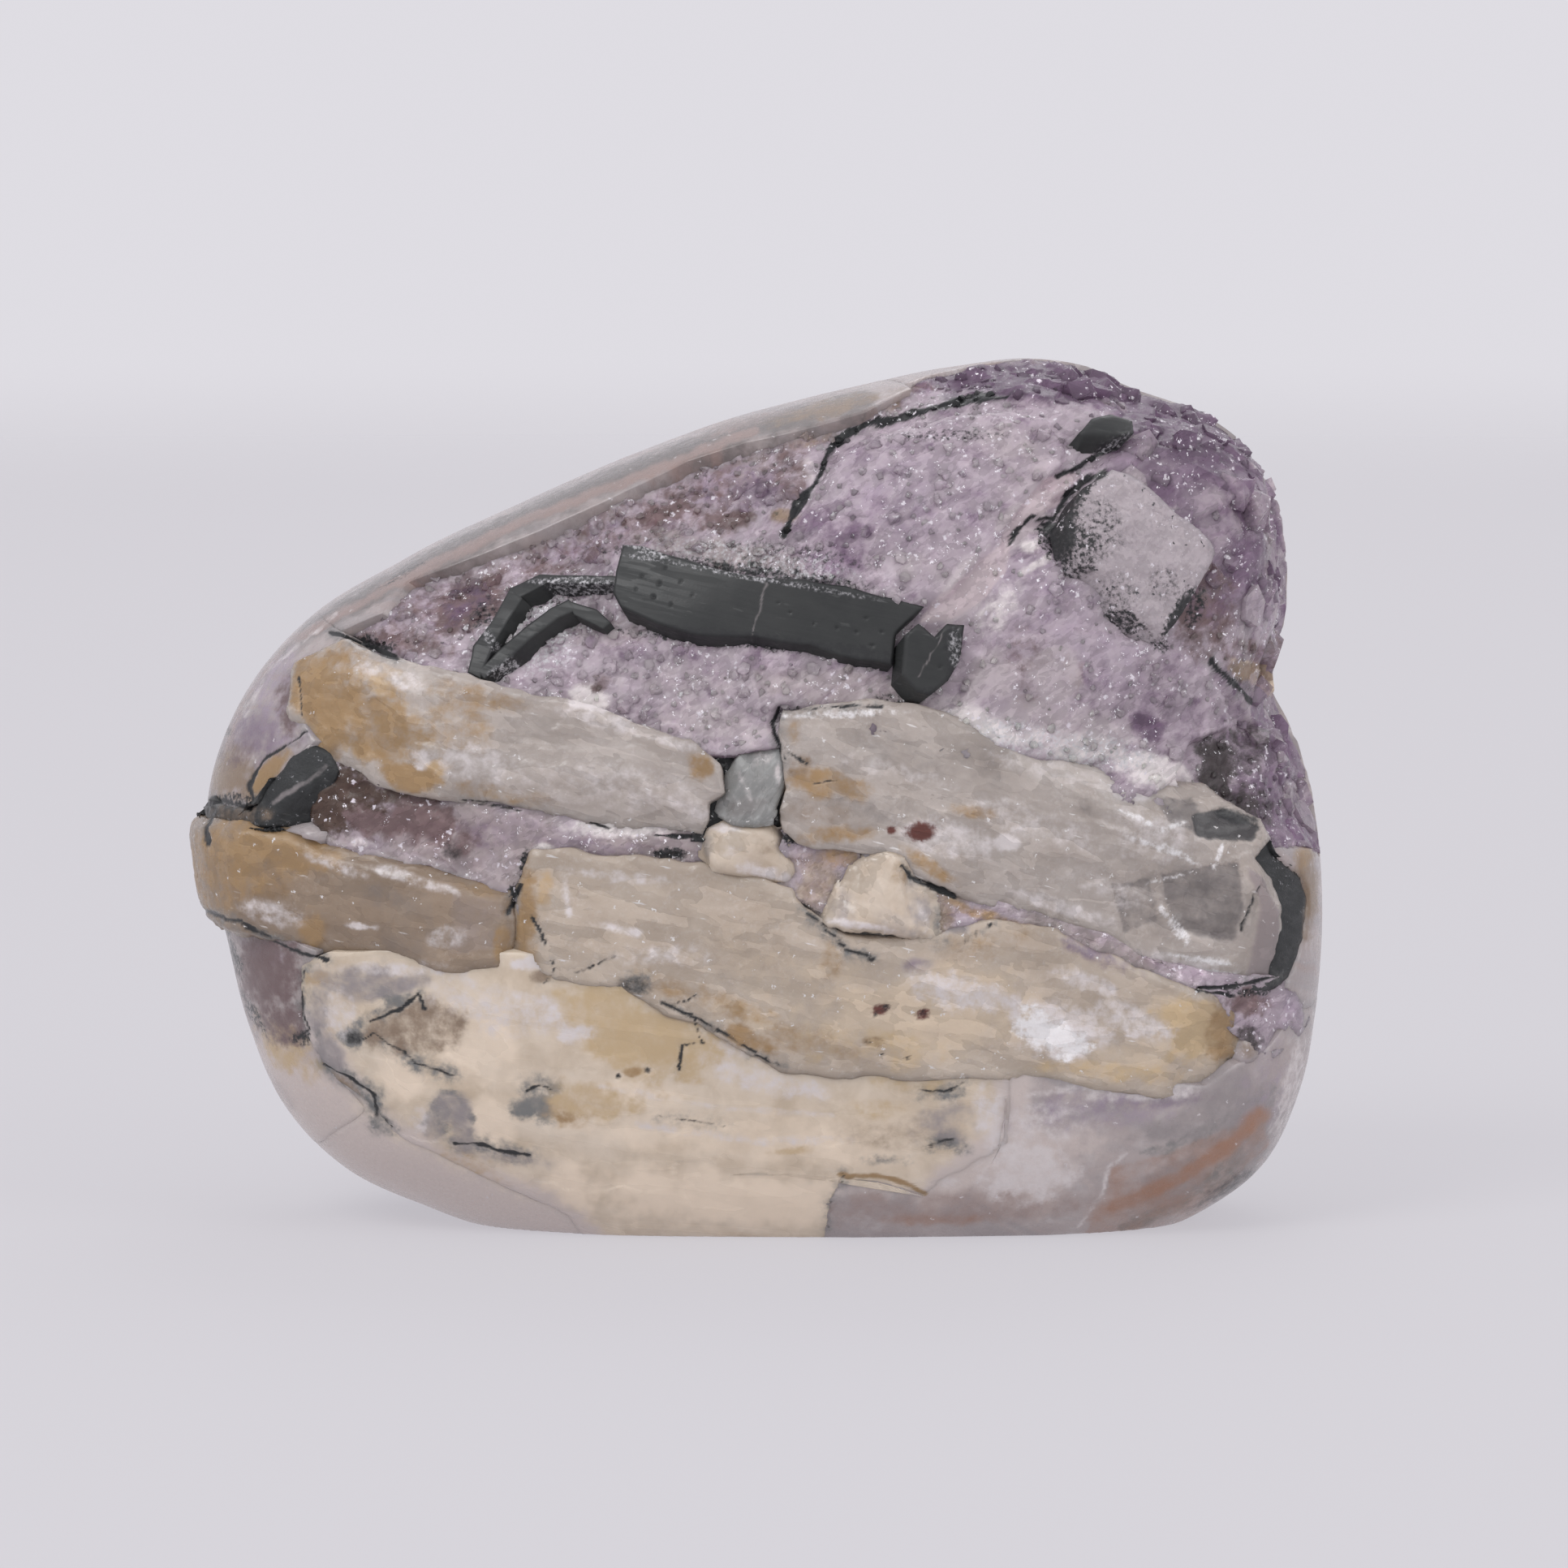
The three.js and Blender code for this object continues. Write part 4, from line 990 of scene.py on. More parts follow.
bladeLowerLeft = {
    "name": "bladeLowerLeft", "node": "calcite_blade_lower_left", "slot": "amber_calcite",
    "swell": 1.6, "seat": 4.0, "rounding": (0.9, 1.6),
    "outline": [
        (-63, 40), (-56.6, 40.6), (-52, 39.8), (-47, 38.8), (-43, 37.2), (-37, 35.6), (-31, 34.1),
        (-25, 32.8), (-24.7, 29), (-25.3, 25.1), (-33.5, 24.7), (-40, 25.3), (-44.3, 26), (-50.5, 28.7),
        (-54.2, 30), (-57, 31.4), (-63, 33),
    ],
    "corners": (0, 7, 9, 16),
    "facets": [
        ((-30, 30), -0.2, (-0.12, -1, 0.02)), ((-40, 32), -0.3, (-0.42, -1, 0.05)),
        ((-46, 28), 0.2, (-0.5, -1, -0.5)),
    ],
    "bumps": [(8, 0.25), (2.4, 0.12), (0.8, 0.05)],
    "chips": [(6, 2.4, -10, 0.1, 7), (2.4, 1.4, -20, 0.07, 14)],
    "calm": [(-35, 30.5, 9, 3)],
    "stains": {
        "ochre": [
            (-54, 36, 5, 4, 0.7), (-48, 37.4, 4.5, 2, 0.8, -12), (-45.5, 29, 1.6, 1.6),
            (-56, 32.4, 3, 1.4, 0.6), (-28, 33, 3, 0.8, 0.4, -14), (-26, 27, 0.7, 2.4, 0.7),
        ],
        "gold": [
            (-53.4, 37.4, 2, 1.2, 0.6), (-49.4, 38, 2.4, 0.8, 0.6, -10), (-46, 36.4, 3, 0.8, 0.4, -16),
        ],
        "amber": [(-50.5, 33.4, 2.6, 1.6, 0.6), (-45, 28.4, 1.2, 1.2, 0.8), (-52.4, 36, 4.4, 2.4, 0.5)],
        "bloom": [
            (-49.4, 30.6, 4, 1.1, 0.5, -16), (-40.5, 29.4, 1.6, 0.3, 0.8, -5), (-31.5, 28.4, 2, 1, 0.35),
            (-39, 25.4, 6, 0.6, 0.4), (-43, 35.6, 3, 0.6, 0.4, -20), (-36.6, 34.6, 3, 0.5, 0.6, -16),
            (-34, 33.8, 4, 0.5, 0.4, -16),
        ],
        "smoke": [(-39, 32.4, 4, 1.4, 0.3, -10), (-55, 35, 3, 4, 0.3)],
    },
    "panels": [
        ("smoke", 0.2, -0.08, [(-38.8, 33.8), (-33, 32.8), (-32.6, 26), (-38.4, 26.6)]),
        ("ash", 0.3, 0.08, [(-31, 33), (-26, 32), (-26, 27), (-31.6, 26.4)]),
    ],
}

bladeLower = {
    "name": "bladeLower", "node": "calcite_blade_lower", "slot": "pale_calcite",
    "swell": 0.5,
    "outline": [
        (-24.4, 32.6), (-22.2, 36.9), (-16, 36.2), (-10, 36), (-5.2, 35.4), (-2, 34.2), (3.6, 32.8),
        (5.2, 30.8), (9.4, 28), (18.6, 28), (25, 29.8), (30.4, 28.7), (35.5, 26.2), (40.3, 24.2),
        (45.4, 22.4), (48.8, 20.8), (50.3, 18.4), (49.7, 15.2), (46.5, 12.2), (38, 12.8), (30, 14.1),
        (22, 14.6), (15, 14.2), (8, 14.4), (2.7, 15), (-3, 18.4), (-9, 21.1), (-14, 23.5), (-20, 24.5),
        (-24.9, 25.2),
    ],
    "corners": (1, 15, 18, 29),
    "facets": [
        ((-8, 30), -0.2, (-0.05, -1, 0.06)), ((24, 21), -0.3, (0.1, -1, -0.1)),
        ((46.6, 18), 0.2, (0.7, -1, -0.3)), ((-23, 30), 0.2, (-0.5, -1, 0)),
    ],
    "bumps": [(8, 0.25), (2.4, 0.12), (0.8, 0.05)],
    "chips": [(7, 2.8, -14, 0.11, 4), (2.6, 1.5, -20, 0.07, 15)],
    "stains": {
        "ochre": [
            (-23.4, 30.5, 1, 5.6, 0.8), (-7, 22.6, 6, 1.4, 0.4, -22), (-0.6, 17.8, 2.6, 0.9, 0.8, -25),
            (7.8, 25.6, 1.2, 1.8, 0.4), (48, 18.6, 1.6, 3, 0.8), (23, 27.6, 5, 1.5, 0.3, 12),
            (6, 17.4, 5, 1.4, 0.3, -12),
        ],
        "honey": [(45, 18.6, 3.4, 3, 1.0, -20), (37, 14.4, 8, 1, 0.5, -4), (12, 17, 8, 2, 0.4, -5)],
        "gold": [(47, 19.6, 2, 2, 0.5, -20), (-21.6, 33, 0.8, 2, 0.7), (1, 20, 4, 1, 0.5, -24)],
        "amber": [(48.6, 18.6, 1, 1.8, 0.6), (-24, 28, 0.6, 3, 0.7), (12.4, 17.6, 1, 0.5, 0.5)],
        "cream": [
            (3, 24, 8, 3.6, 0.4, -20), (18, 20.6, 12, 4, 0.8), (44, 21, 3, 1, 0.9, -20),
            (40, 16, 7, 1.8, 0.6, 5), (10, 23, 8, 3, 0.5, -10), (-2, 20.6, 4, 1.2, 0.5, -24),
            (20, 22, 7, 3, 0.9),
        ],
        "bloom": [
            (31.5, 18.8, 5, 2.8, 0.7, -12), (22, 22.4, 6, 1.8, 0.6, -14), (-19.4, 32.5, 0.5, 2.6, 0.6, 10),
            (-13.5, 29, 2.6, 0.5, 0.6, -10), (38, 20, 5, 1.5, 0.5, -16), (-9, 26.4, 5, 1.2, 0.4),
            (20, 24, 5, 0.8, 0.4, -12), (-14, 34.6, 6, 0.6, 0.5, -6), (34, 23.6, 3.4, 0.9, 0.6, -20),
        ],
        "white": [
            (30.5, 18.4, 3.4, 1.6, 0.9, -10), (33, 16.6, 2.2, 0.9, 0.8, 10),
            (28.6, 20.4, 2, 0.8, 0.7, -30),
        ],
        "smoke": [(2, 22.8, 5, 1, 0.3, -16), (11.6, 24.6, 3, 1.4, 0.25)],
        "grey": [(20.5, 29.2, 1.4, 0.8, 0.9), (16.8, 25.4, 1.8, 0.9, 0.6)],
        "mauve": [(35, 26.6, 4, 1, 0.6, -26), (16.8, 25.2, 1.4, 0.8, 0.5)],
        "slateAndShade": [(-12, 23.6, 2, 1.2, 0.7), (48.6, 16.2, 1.4, 0.8, 0.4, -30)],
        "rust": [(12.9, 20.8, 1, 0.55), (17.3, 20.4, 0.5, 0.45), (51, 21.2, 1.3, 1, 0.6)],
        "soot": [(-12.4, 23.4, 1.6, 0.9, 0.5), (49, 15.6, 0.8, 0.5, 0.5)],
    },
    "pits": [
        (13.4, 21, 0.5, 0.3), (17.3, 20.4, 0.4, 0.3), (12.4, 20.3, 0.3, 0.3), (13, 16.2, 0.3, 0.2),
        (15.7, 15.8, 0.3, 0.2), (11.6, 17.5, 0.25, 0.2),
    ],
}

creamLump = {
    "name": "creamLump", "node": "cream_lump", "slot": "cream_calcite",
    "swell": 1.1, "seat": 2.5, "rounding": (0.7, 1.4),
    "outline": [
        (-5.2, 39.4), (-3, 39.9), (1.4, 39.8), (2.6, 38.6), (3.2, 36.8), (4, 35.4), (3.8, 33.2),
        (-1, 34.4), (-4.2, 35.6), (-5.4, 37),
    ],
    "corners": (0, 3, 6, 9), "spacing": 0.2,
    "facets": [
        ((-2.8, 38), -0.4, (-0.4, -1, 0.3)), ((2, 38.4), -0.3, (0.5, -1, 0.3)),
        ((0, 35), -0.4, (0.1, -1, -0.4)),
    ],
    "bumps": [(4, 0.25), (1.5, 0.08)],
    "stains": {
        "bloom": [(0.5, 35, 3, 0.7, 0.7, -12), (-3, 39.5, 2, 0.5, 0.7), (-2, 37, 1.5, 1, 0.3)],
        "smoke": [(3, 38, 0.8, 2, 0.5), (-4.8, 37.6, 0.6, 1.4, 0.5)],
        "tan": [(1.4, 37.6, 1.4, 1.2, 0.3)],
    },
}

creamTooth = {
    "name": "creamTooth", "node": "cream_tooth", "slot": "cream_calcite",
    "swell": 1.6, "rounding": (0.4, 0.8),
    "outline": [
        (9.9, 35.9), (13, 36.7), (14.7, 36.2), (15.8, 34.6), (18.2, 33.6), (19.8, 32), (19.6, 29.8),
        (18.6, 28.2), (18.6, 26.2), (14, 26), (10.2, 26.4), (8.2, 27.8), (6.9, 29.4), (7.6, 31.4),
        (8.5, 34),
    ],
    "corners": (0, 5, 8, 12), "spacing": 0.2,
    "facets": [
        ((11, 33), -0.9, (-0.3, -1, 0.25)), ((17.4, 31), -0.7, (0.4, -1, 0.1)),
        ((12, 28.8), -0.6, (-0.1, -1, -1.3)),
    ],
    "bumps": [(4, 0.25), (1.4, 0.14), (0.6, 0.05)],
    "chips": [(3.5, 1.2, -80, 0.25, 6)],
    "stains": {
        # the first grey patch, low on the tooth, is painted shade on its underside, which faces down
        "slateAndShade": [(16.4, 26.8, 1.4, 1, 0.9), (18.8, 30.4, 0.5, 2, 0.4)],
        "bloom": [(11, 29.4, 4.2, 0.5, 0.6, -10), (17.6, 29.4, 0.5, 2.4, 0.4, 14)],
        "grey": [(9, 31.5, 1.2, 2, 0.5), (17, 31, 1.6, 2.4, 0.6), (14, 29.6, 2, 1.4, 0.4)],
        "ochre": [(14.8, 34.8, 1, 1.2, 0.4)],
        "soot": [(9, 27.4, 2, 0.5, 0.6, -30), (16.8, 26.2, 1.6, 0.4, 0.6)],
    },
    "panels": [
        # painted shade: this grey panel covers the tooth's underside, which faces down, and sinks it a
        # little
        ("slateAndShade", 0.9, -0.5, [
            (7, 29.4), (9.6, 28.6), (14, 28.4), (16.6, 27.6), (16.8, 25.8), (14, 25.8), (10, 26.2),
            (7.4, 28),
        ]),
        ("smoke", 0.25, -0.15, [(15.2, 35), (18.4, 33.8), (20, 32), (19, 28), (16.8, 28), (15.6, 31.4)]),
    ],
}

greyCrystal = {
    "name": "greyCrystal", "node": "grey_crystal", "slot": "blue_grey_calcite",
    "swell": 0.9, "seat": 2.5, "rounding": (0.4, 0.7),
    "outline": [
        (1, 48.3), (2.8, 47.2), (3.1, 45), (2.9, 43.6), (2.2, 42.4), (1.7, 40.3), (-2.8, 40.3),
        (-4.2, 41.1), (-3.6, 42.6), (-3.1, 44.6), (-1.6, 46.4),
    ],
    "corners": (10, 1, 5, 7), "spacing": 0.2,
    "facets": [
        ((-1.5, 43.5), -0.5, (-0.8, -1, 0.2)), ((1.8, 44), -0.5, (0.7, -1, 0.1)),
        ((0.5, 46.5), 0, (0, -1, 0.9)),
    ],
    "bumps": [(3, 0.2), (1.2, 0.1)],
    "chips": [(2.6, 0.8, 60, 0.2, 8)],
    "stains": {
        "bloom": [(1, 46.8, 1.6, 0.8, 0.4, 30), (2.4, 45.4, 0.3, 1.6, 0.4), (-1, 44, 0.3, 1.6, 0.3, 20)],
        "smoke": [(-1, 41.6, 2.6, 1.2, 0.5)],
    },
}

creamMass = {
    "name": "creamMass", "node": "cream_calcite", "slot": "cream_calcite",
    "swell": 0.05, "rounding": (0.12, 0.5), "seamDepth": 0.08, "widened": 0.55, "ragged": 0.12,
    "spacing": 0.27,
    "outline": [
        (-46.2, 25.2), (-43.6, 26.2), (-34, 26.5), (-22, 26), (-10, 24), (4, 18), (18, 16), (24.5, 15.6),
        (26.3, 12.4), (26, 7.4), (22.6, 5.5), (17.5, 2.1), (15.2, 2.9), (12.6, 3.7), (8.8, 3.8),
        (7.5, 1.2), (7, -3.0), (-16.5, -3.0), (-19, 0.2), (-22, 1.6), (-28, 4.2), (-33, 6.6), (-37.2, 8.8),
        (-39.2, 11.7), (-44.2, 15.2), (-46, 19.4),
    ],
    "corners": (0, 7, 16, 24),
    "bumps": [(6, 0.05)], "chips": [(5, 2.4, -8, 0.05, 19)],
    "stains": {
        "tan": [(14, 8, 5, 1.6, 0.25), (-22, 24.2, 1, 0.6, 0.8)],
        "honey": [
            (-12, 18.6, 8, 4, 0.8, -28), (-17, 11.4, 4, 1.8, 0.7, -6), (15.5, 13.6, 3.4, 1.3, 0.5),
            (-17, 21, 4, 1.4, 0.4, -20), (12, 10.6, 4, 1, 0.4), (3.5, 6.3, 2.4, 0.5, 0.7, 6),
        ],
        "gold": [
            (-9.6, 17, 2.6, 1.8, 0.5, -28), (-19, 10.6, 2.4, 1.6, 0.6), (-3, 20.4, 5, 1, 0.5, -30),
            (-12.6, 14.6, 1.2, 0.6, 0.9), (-45, 24, 1.2, 1, 0.5), (-30, 4.6, 4, 1.4, 0.4, -24),
        ],
        "ochre": [(-12.6, 14.4, 1, 0.5, 0.7), (-19.4, 9.8, 1, 0.6, 0.6), (-39.6, 10, 0.8, 0.6, 0.6)],
        "peach": [
            (-3, 1.4, 20, 3.2, 0.8, -3), (0, 7.6, 16, 3, 0.5, -4), (-29, 17, 5, 4, 0.6, -30),
            (-36, 14, 3, 2, 0.7, -30), (-27, 9.6, 2.4, 3, 0.7), (-12, 12, 5, 1.6, 0.5, -10),
        ],
        "bloom": [
            (-27, 21, 6, 2.4, 0.4, -20), (1, 13.6, 7, 1.4, 0.5, -14), (-21, 19.8, 4, 1.6, 0.6, -30),
            (-42.6, 20.4, 1.6, 2.6, 0.5, 10), (-37, 25, 7, 0.7, 0.5, -2), (24, 9.5, 1.8, 3.6, 0.6, 10),
            (2, 15.8, 6, 0.8, 0.4, -14), (-18.6, 18.4, 2, 1.2, 0.7), (-34.4, 9.6, 1, 1.4, 0.5),
            (-23, 25.6, 2, 0.8, 0.8),
        ],
        "grey": [
            (-43.6, 16.2, 1.4, 2.4, 0.8, 20), (19.6, 9, 3, 2, 0.5), (-44.6, 21, 1.4, 3, 0.6),
            (-26, 6, 5, 0.8, 0.4, -10), (-40, 24, 4, 1.4, 0.6, 8),
        ],
        "slateAndShade": [
            (-41.2, 18, 1.2, 0.9, 0.9), (-44, 14.8, 1, 1.2, 0.6, 30), (-38.8, 10, 0.6, 2.4, 0.8, 30),
            (-32, 9.6, 1.2, 1.4, 0.5), (19.6, 7.4, 1.8, 1, 0.8), (19.4, 12.4, 1.8, 0.8, 0.7),
            (13.6, 5.4, 2.6, 0.7, 0.4), (-37, 22, 2.4, 0.8, 0.8, -24), (21.4, 6.4, 1, 0.8, 0.6),
        ],
        "soot": [(-41.2, 17.9, 0.7, 0.5, 0.7), (-38.3, 9.2, 0.5, 0.5, 0.7), (19.6, 7.2, 1, 0.4, 0.4)],
    },
    "bands": [
        ("haze", [(-47, 19), (-40, 8.6), (-33, 4.6), (-22, 0), (-18, -3)], 4.0, 1.0),
        ("haze", [(26.6, 13), (26.4, 8), (21, 4), (17.5, 1)], 3.2, 0.9),
        ("bloom", [(-12, 9), (0, 7.4), (10, 7.4)], 0.7, 0.35),
        ("bloom", [(-16, 13), (-4, 10.8), (8, 10)], 0.5, 0.3),
        ("ochre", [(8.8, 3.9), (12.5, 3.9), (15.4, 3), (17.5, 2)], 0.5, 0.9),
        ("slateAndShade", [(-45, 19), (-44.2, 15.2), (-41, 13.5), (-39, 12), (-38.6, 9)], 0.7, 0.6),
        ("tan", [(-38.8, 18.2), (-35.6, 19.8), (-33, 20.6), (-31, 19.6)], 2.6, 0.7),
        ("tan", [(-36.4, 17.4), (-33.6, 17.6), (-31.4, 18)], 2.2, 0.6),
        ("tan", [(-43, 13.4), (-41, 11.6), (-40, 9.8)], 1.6, 0.8),
        ("grey", [(-33.2, 8.4), (-32, 11), (-30.4, 11), (-30, 7.4)], 2.2, 0.65),
        ("slateAndShade", [(-34, 9), (-32.4, 12.2), (-30.6, 12.4), (-29, 9.6), (-29.6, 7)], 0.6, 0.6),
        ("slateAndShade", [(-24, 10.6), (-21.6, 11.4), (-21.4, 10)], 1.8, 0.9),
        ("slateAndShade", [(-42, 18.6), (-39.6, 20), (-36.8, 21.6), (-35, 22.2)], 0.9, 0.6),
        ("grey", [(-45, 24.4), (-41, 22.4), (-38, 22.8), (-34, 24)], 1.5, 0.7),
    ],
    "pits": [(-36, 16.4, 0.35, 0.15), (-11, 14.6, 0.4, 0.15), (-14, 14, 0.35, 0.15)],
}
creamLook = {
    **calciteLook,
    "base": (0.66, 0.56, 0.445), "second": (0.50, 0.405, 0.30), "cloud": 3.4, "flakeShare": 0.2,
    "fibreTurn": -8, "fibreLength": 16.0, "fibreWidth": 5.0, "streak": (0.70, 0.62, 0.53),
    "streakShare": 0.4, "scratches": 0.0, "edge": (0.66, 0.60, 0.52), "cellShare": 0.03,
    "cellStep": 0.3, "fine": 0.6, "relief": 0.03, "rough": 0.24, "specks": [],
}

# The dark bars, wedge, block and caps

darkLook = {
    **calciteLook,
    "base": (0.018, 0.020, 0.020), "second": (0.030, 0.032, 0.031), "cloud": 6.0,
    "fibreTurn": -12, "fibreLength": 14.0, "fibreWidth": 0.8, "streak": (0.030, 0.032, 0.031),
    "scratch": (0.045, 0.047, 0.046), "scratches": 0.04, "edge": (0.05, 0.05, 0.05),
    "edgeShare": 0.3, "fine": 0.3, "relief": 0.02, "rough": 0.5, "glow": 0.0, "flakeShare": 0.0,
    "specks": [], "cellShare": 0.04, "cellStep": 0.2,
}

barLong = {
    "name": "barLong", "node": "dark_bar_long", "slot": "dark_mineral",
    "swell": 0.6, "seat": 2.5, "rounding": (0.28, 0.3), "seamDepth": 0.1, "widened": 0,
    "ragged": 0.08, "spacing": 0.2,
    "outline": [
        (-13.4, 68.3), (-11.5, 68.2), (-6.5, 66.6), (0.2, 65), (5, 64.7), (9.2, 64), (13.2, 62.9),
        (17.2, 61.9), (15.9, 60.6), (14.4, 59.2), (14, 55.9), (10.5, 56.4), (5.6, 57.9), (0, 58.8),
        (-6, 59), (-10, 60.2), (-13.6, 61.9), (-14.4, 63.4), (-14.1, 65.6),
    ],
    "corners": (0, 7, 10, 16),
    "facets": [((1, 62), -0.3, (0.02, -1, 0.14))],
    "bumps": [(6, 0.1)],
    "stains": {
        # the first and third patches, along the bar's lower edge, are painted shadow under the raised bar;
        # the others are dark grains along its top
        "gritAndShadow": [
            (0, 58.9, 13, 0.6, 0.8, -6), (-2, 66, 12, 0.5, 0.6, -14), (12, 56.4, 3, 0.7, 0.8, -8),
            (-12, 67.8, 2, 0.6, 0.6, -10),
        ],
        "salt": [(0, 65.2, 12, 0.3, 0.25, -10), (-10, 67.6, 3, 0.4, 0.35, -20)],
    },
    "bands": [("grey", [(-0.3, 59), (0.4, 62), (1.2, 64.7)], 0.2, 0.5)],
    "pits": [
        (-11.6, 65.4, 0.16, 0.2), (-9.8, 64.6, 0.2, 0.25), (-10.4, 63.2, 0.22, 0.25),
        (-8.6, 62.4, 0.16, 0.2), (-7.6, 64.8, 0.15, 0.2), (-9.2, 66.2, 0.15, 0.2), (3.6, 61.6, 0.16, 0.2),
        (8.4, 60, 0.18, 0.2), (10.4, 59.6, 0.2, 0.2), (12, 58.2, 0.2, 0.25), (11.4, 61, 0.16, 0.2),
        (13, 59.6, 0.18, 0.2), (6, 60.4, 0.14, 0.2), (-6.4, 63.4, 0.14, 0.2), (-12.2, 64, 0.14, 0.2),
        (2.4, 62.6, 0.13, 0.2),
    ],
}
barCross = {
    **barLong,
    "name": "barCross", "node": "dark_bar_cross", "swell": 0.9,
    "outline": [
        (15.1, 59), (16.5, 60.2), (18.2, 58.8), (19.4, 60.2), (21.2, 60.1), (20.7, 56.4), (19.6, 54.4),
        (17.7, 52.9), (16.5, 53.2), (14.8, 55),
    ],
    "corners": (0, 4, 7, 9), "facets": [],
    "stains": {
        "gritAndShadow": [(20.4, 57.4, 0.9, 2.6, 0.9), (18, 53.4, 1.6, 0.5, 0.6)],
        "salt": [(20.6, 57.8, 0.6, 2, 0.2)],
    },
    "bands": [("grey", [(19.2, 59.4), (18, 57), (16.8, 55)], 0.16, 0.4)],
    "pits": [(19.6, 57.8, 0.2, 0.2), (19, 56, 0.2, 0.2)],
}
frameSide = {
    **barLong,
    "name": "frameSide", "node": "dark_frame", "swell": -0.55, "rounding": (0.05, 0.2),
    "outline": [
        (-29.9, 55.6), (-29.3, 58.4), (-27.4, 61), (-25.4, 64.6), (-24.2, 63.4), (-25.8, 61),
        (-27.2, 58.6), (-28, 56.6), (-28.6, 55),
    ],
    "corners": (3, 4, 8, 0), "facets": [], "pits": [], "bands": [],
    "stains": {"gritAndShadow": [(-27.4, 57.6, 1, 3, 0.9, 20)], "salt": [(-27, 58.6, 0.5, 3, 0.25, 30)]},
}
frameTop = {
    **frameSide,
    "name": "frameTop",
    "outline": [
        (-25.6, 64.4), (-22.4, 65.9), (-15, 65.8), (-13.4, 65.6), (-13.4, 64.8), (-15, 64.9), (-21.6, 65),
        (-24.6, 63.4),
    ],
    "corners": (0, 3, 4, 7),
    "stains": {"gritAndShadow": [(-19, 64.8, 5, 0.5, 0.9)], "salt": [(-19, 64.8, 5, 0.4, 0.3)]},
}
frameInner = {
    **frameSide,
    "name": "frameInner",
    "outline": [
        (-29, 55.7), (-26.9, 57.8), (-24, 60.3), (-21.4, 62.3), (-19.4, 63.3), (-18.4, 62.3),
        (-20.6, 61.3), (-23.4, 59.1), (-26, 56.7), (-28.2, 54.9),
    ],
    "corners": (0, 4, 5, 9),
    "stains": {
        "gritAndShadow": [(-26.6, 55.4, 1.8, 0.9, 0.9), (-25, 57, 2, 0.4, 0.8, 40)],
        "salt": [(-26, 56, 2, 0.5, 0.3, 30)],
    },
}
frameEnd = {
    **frameSide,
    "name": "frameEnd",
    "outline": [(-19.6, 63.2), (-16.4, 62.2), (-15, 60.9), (-15.8, 60.2), (-18.8, 61.7)],
    "corners": (0, 2, 3, 4), "stains": {},
}
wedge = {
    **barLong,
    "name": "wedge", "node": "dark_wedge", "swell": 0.4, "rounding": (0.25, 0.4),
    "outline": [
        (33.2, 79.8), (34.4, 81.4), (36.4, 81.9), (38.6, 81.2), (38.7, 80), (36.6, 78), (34.2, 76.8),
        (32, 76.2), (30.2, 75.2), (30.3, 76.1), (32.4, 77.4),
    ],
    "corners": (9, 3, 4, 8), "facets": [((36, 79.6), 0.1, (0.3, -1, -0.5))], "pits": [],
    "bands": [], "stains": {
        "gritAndShadow": [(35.6, 77.6, 4, 0.9, 0.9, 32)], "salt": [(35.8, 77.8, 4, 0.8, 0.35, 32)],
    },
}

speckledLook = {
    **calciteLook,
    "base": (0.345, 0.298, 0.318), "second": (0.405, 0.358, 0.375), "cloud": 2.0,
    "fibreTurn": 0, "fibreLength": 1.0, "fibreWidth": 1.0, "streak": (0.44, 0.39, 0.41),
    "scratches": 0.0, "fine": 0.22, "relief": 0.12, "rough": 0.5,
    "specks": [((0.62, 0.58, 0.62), 0.5, 0.12), ((0.04, 0.04, 0.045), 0.6, 0.05)],
    "flakeShare": 0.5,
}
block = {
    "name": "block", "node": "drusy_block", "slot": "speckled_druse",
    "swell": 0.7, "seat": 2.5, "rounding": (0.45, 0.7), "seamDepth": 0.1, "widened": 0,
    "ragged": 0.25, "spacing": 0.2,
    "outline": [
        (36.2, 76.1), (38.4, 75.5), (42.6, 71.8), (46.2, 69), (46.9, 67.3), (45.4, 64.4), (43.6, 61.2),
        (41.5, 58.8), (39.8, 59.9), (37.2, 61.9), (35.4, 65.2), (33.2, 66.2), (32, 68.6), (31.4, 71),
        (33.4, 74.2),
    ],
    "corners": (0, 4, 7, 12),
    "facets": [((39, 67.5), -0.5, (0.3, -1, 0.3))],
    "bumps": [(3, 0.12), (0.8, 0.1), (0.45, 0.08)],
    "chips": [(1.1, 1.0, 0, 0.12, 11)],
    "stains": {
        "gritAndShadow": [
            (32, 70.5, 1.3, 4.2, 0.95, -10), (33.4, 74.4, 1.1, 2.4, 0.9, -35),
            (38.6, 60.8, 2.8, 0.9, 0.95, -38), (43.6, 61.4, 0.9, 3, 0.95, -28), (33.6, 68, 1.6, 2.4, 0.55),
            (35.4, 70.4, 2.4, 3.4, 0.28), (42, 64.4, 2, 2, 0.22), (37.6, 63.6, 2, 2, 0.25),
        ],
    },
}

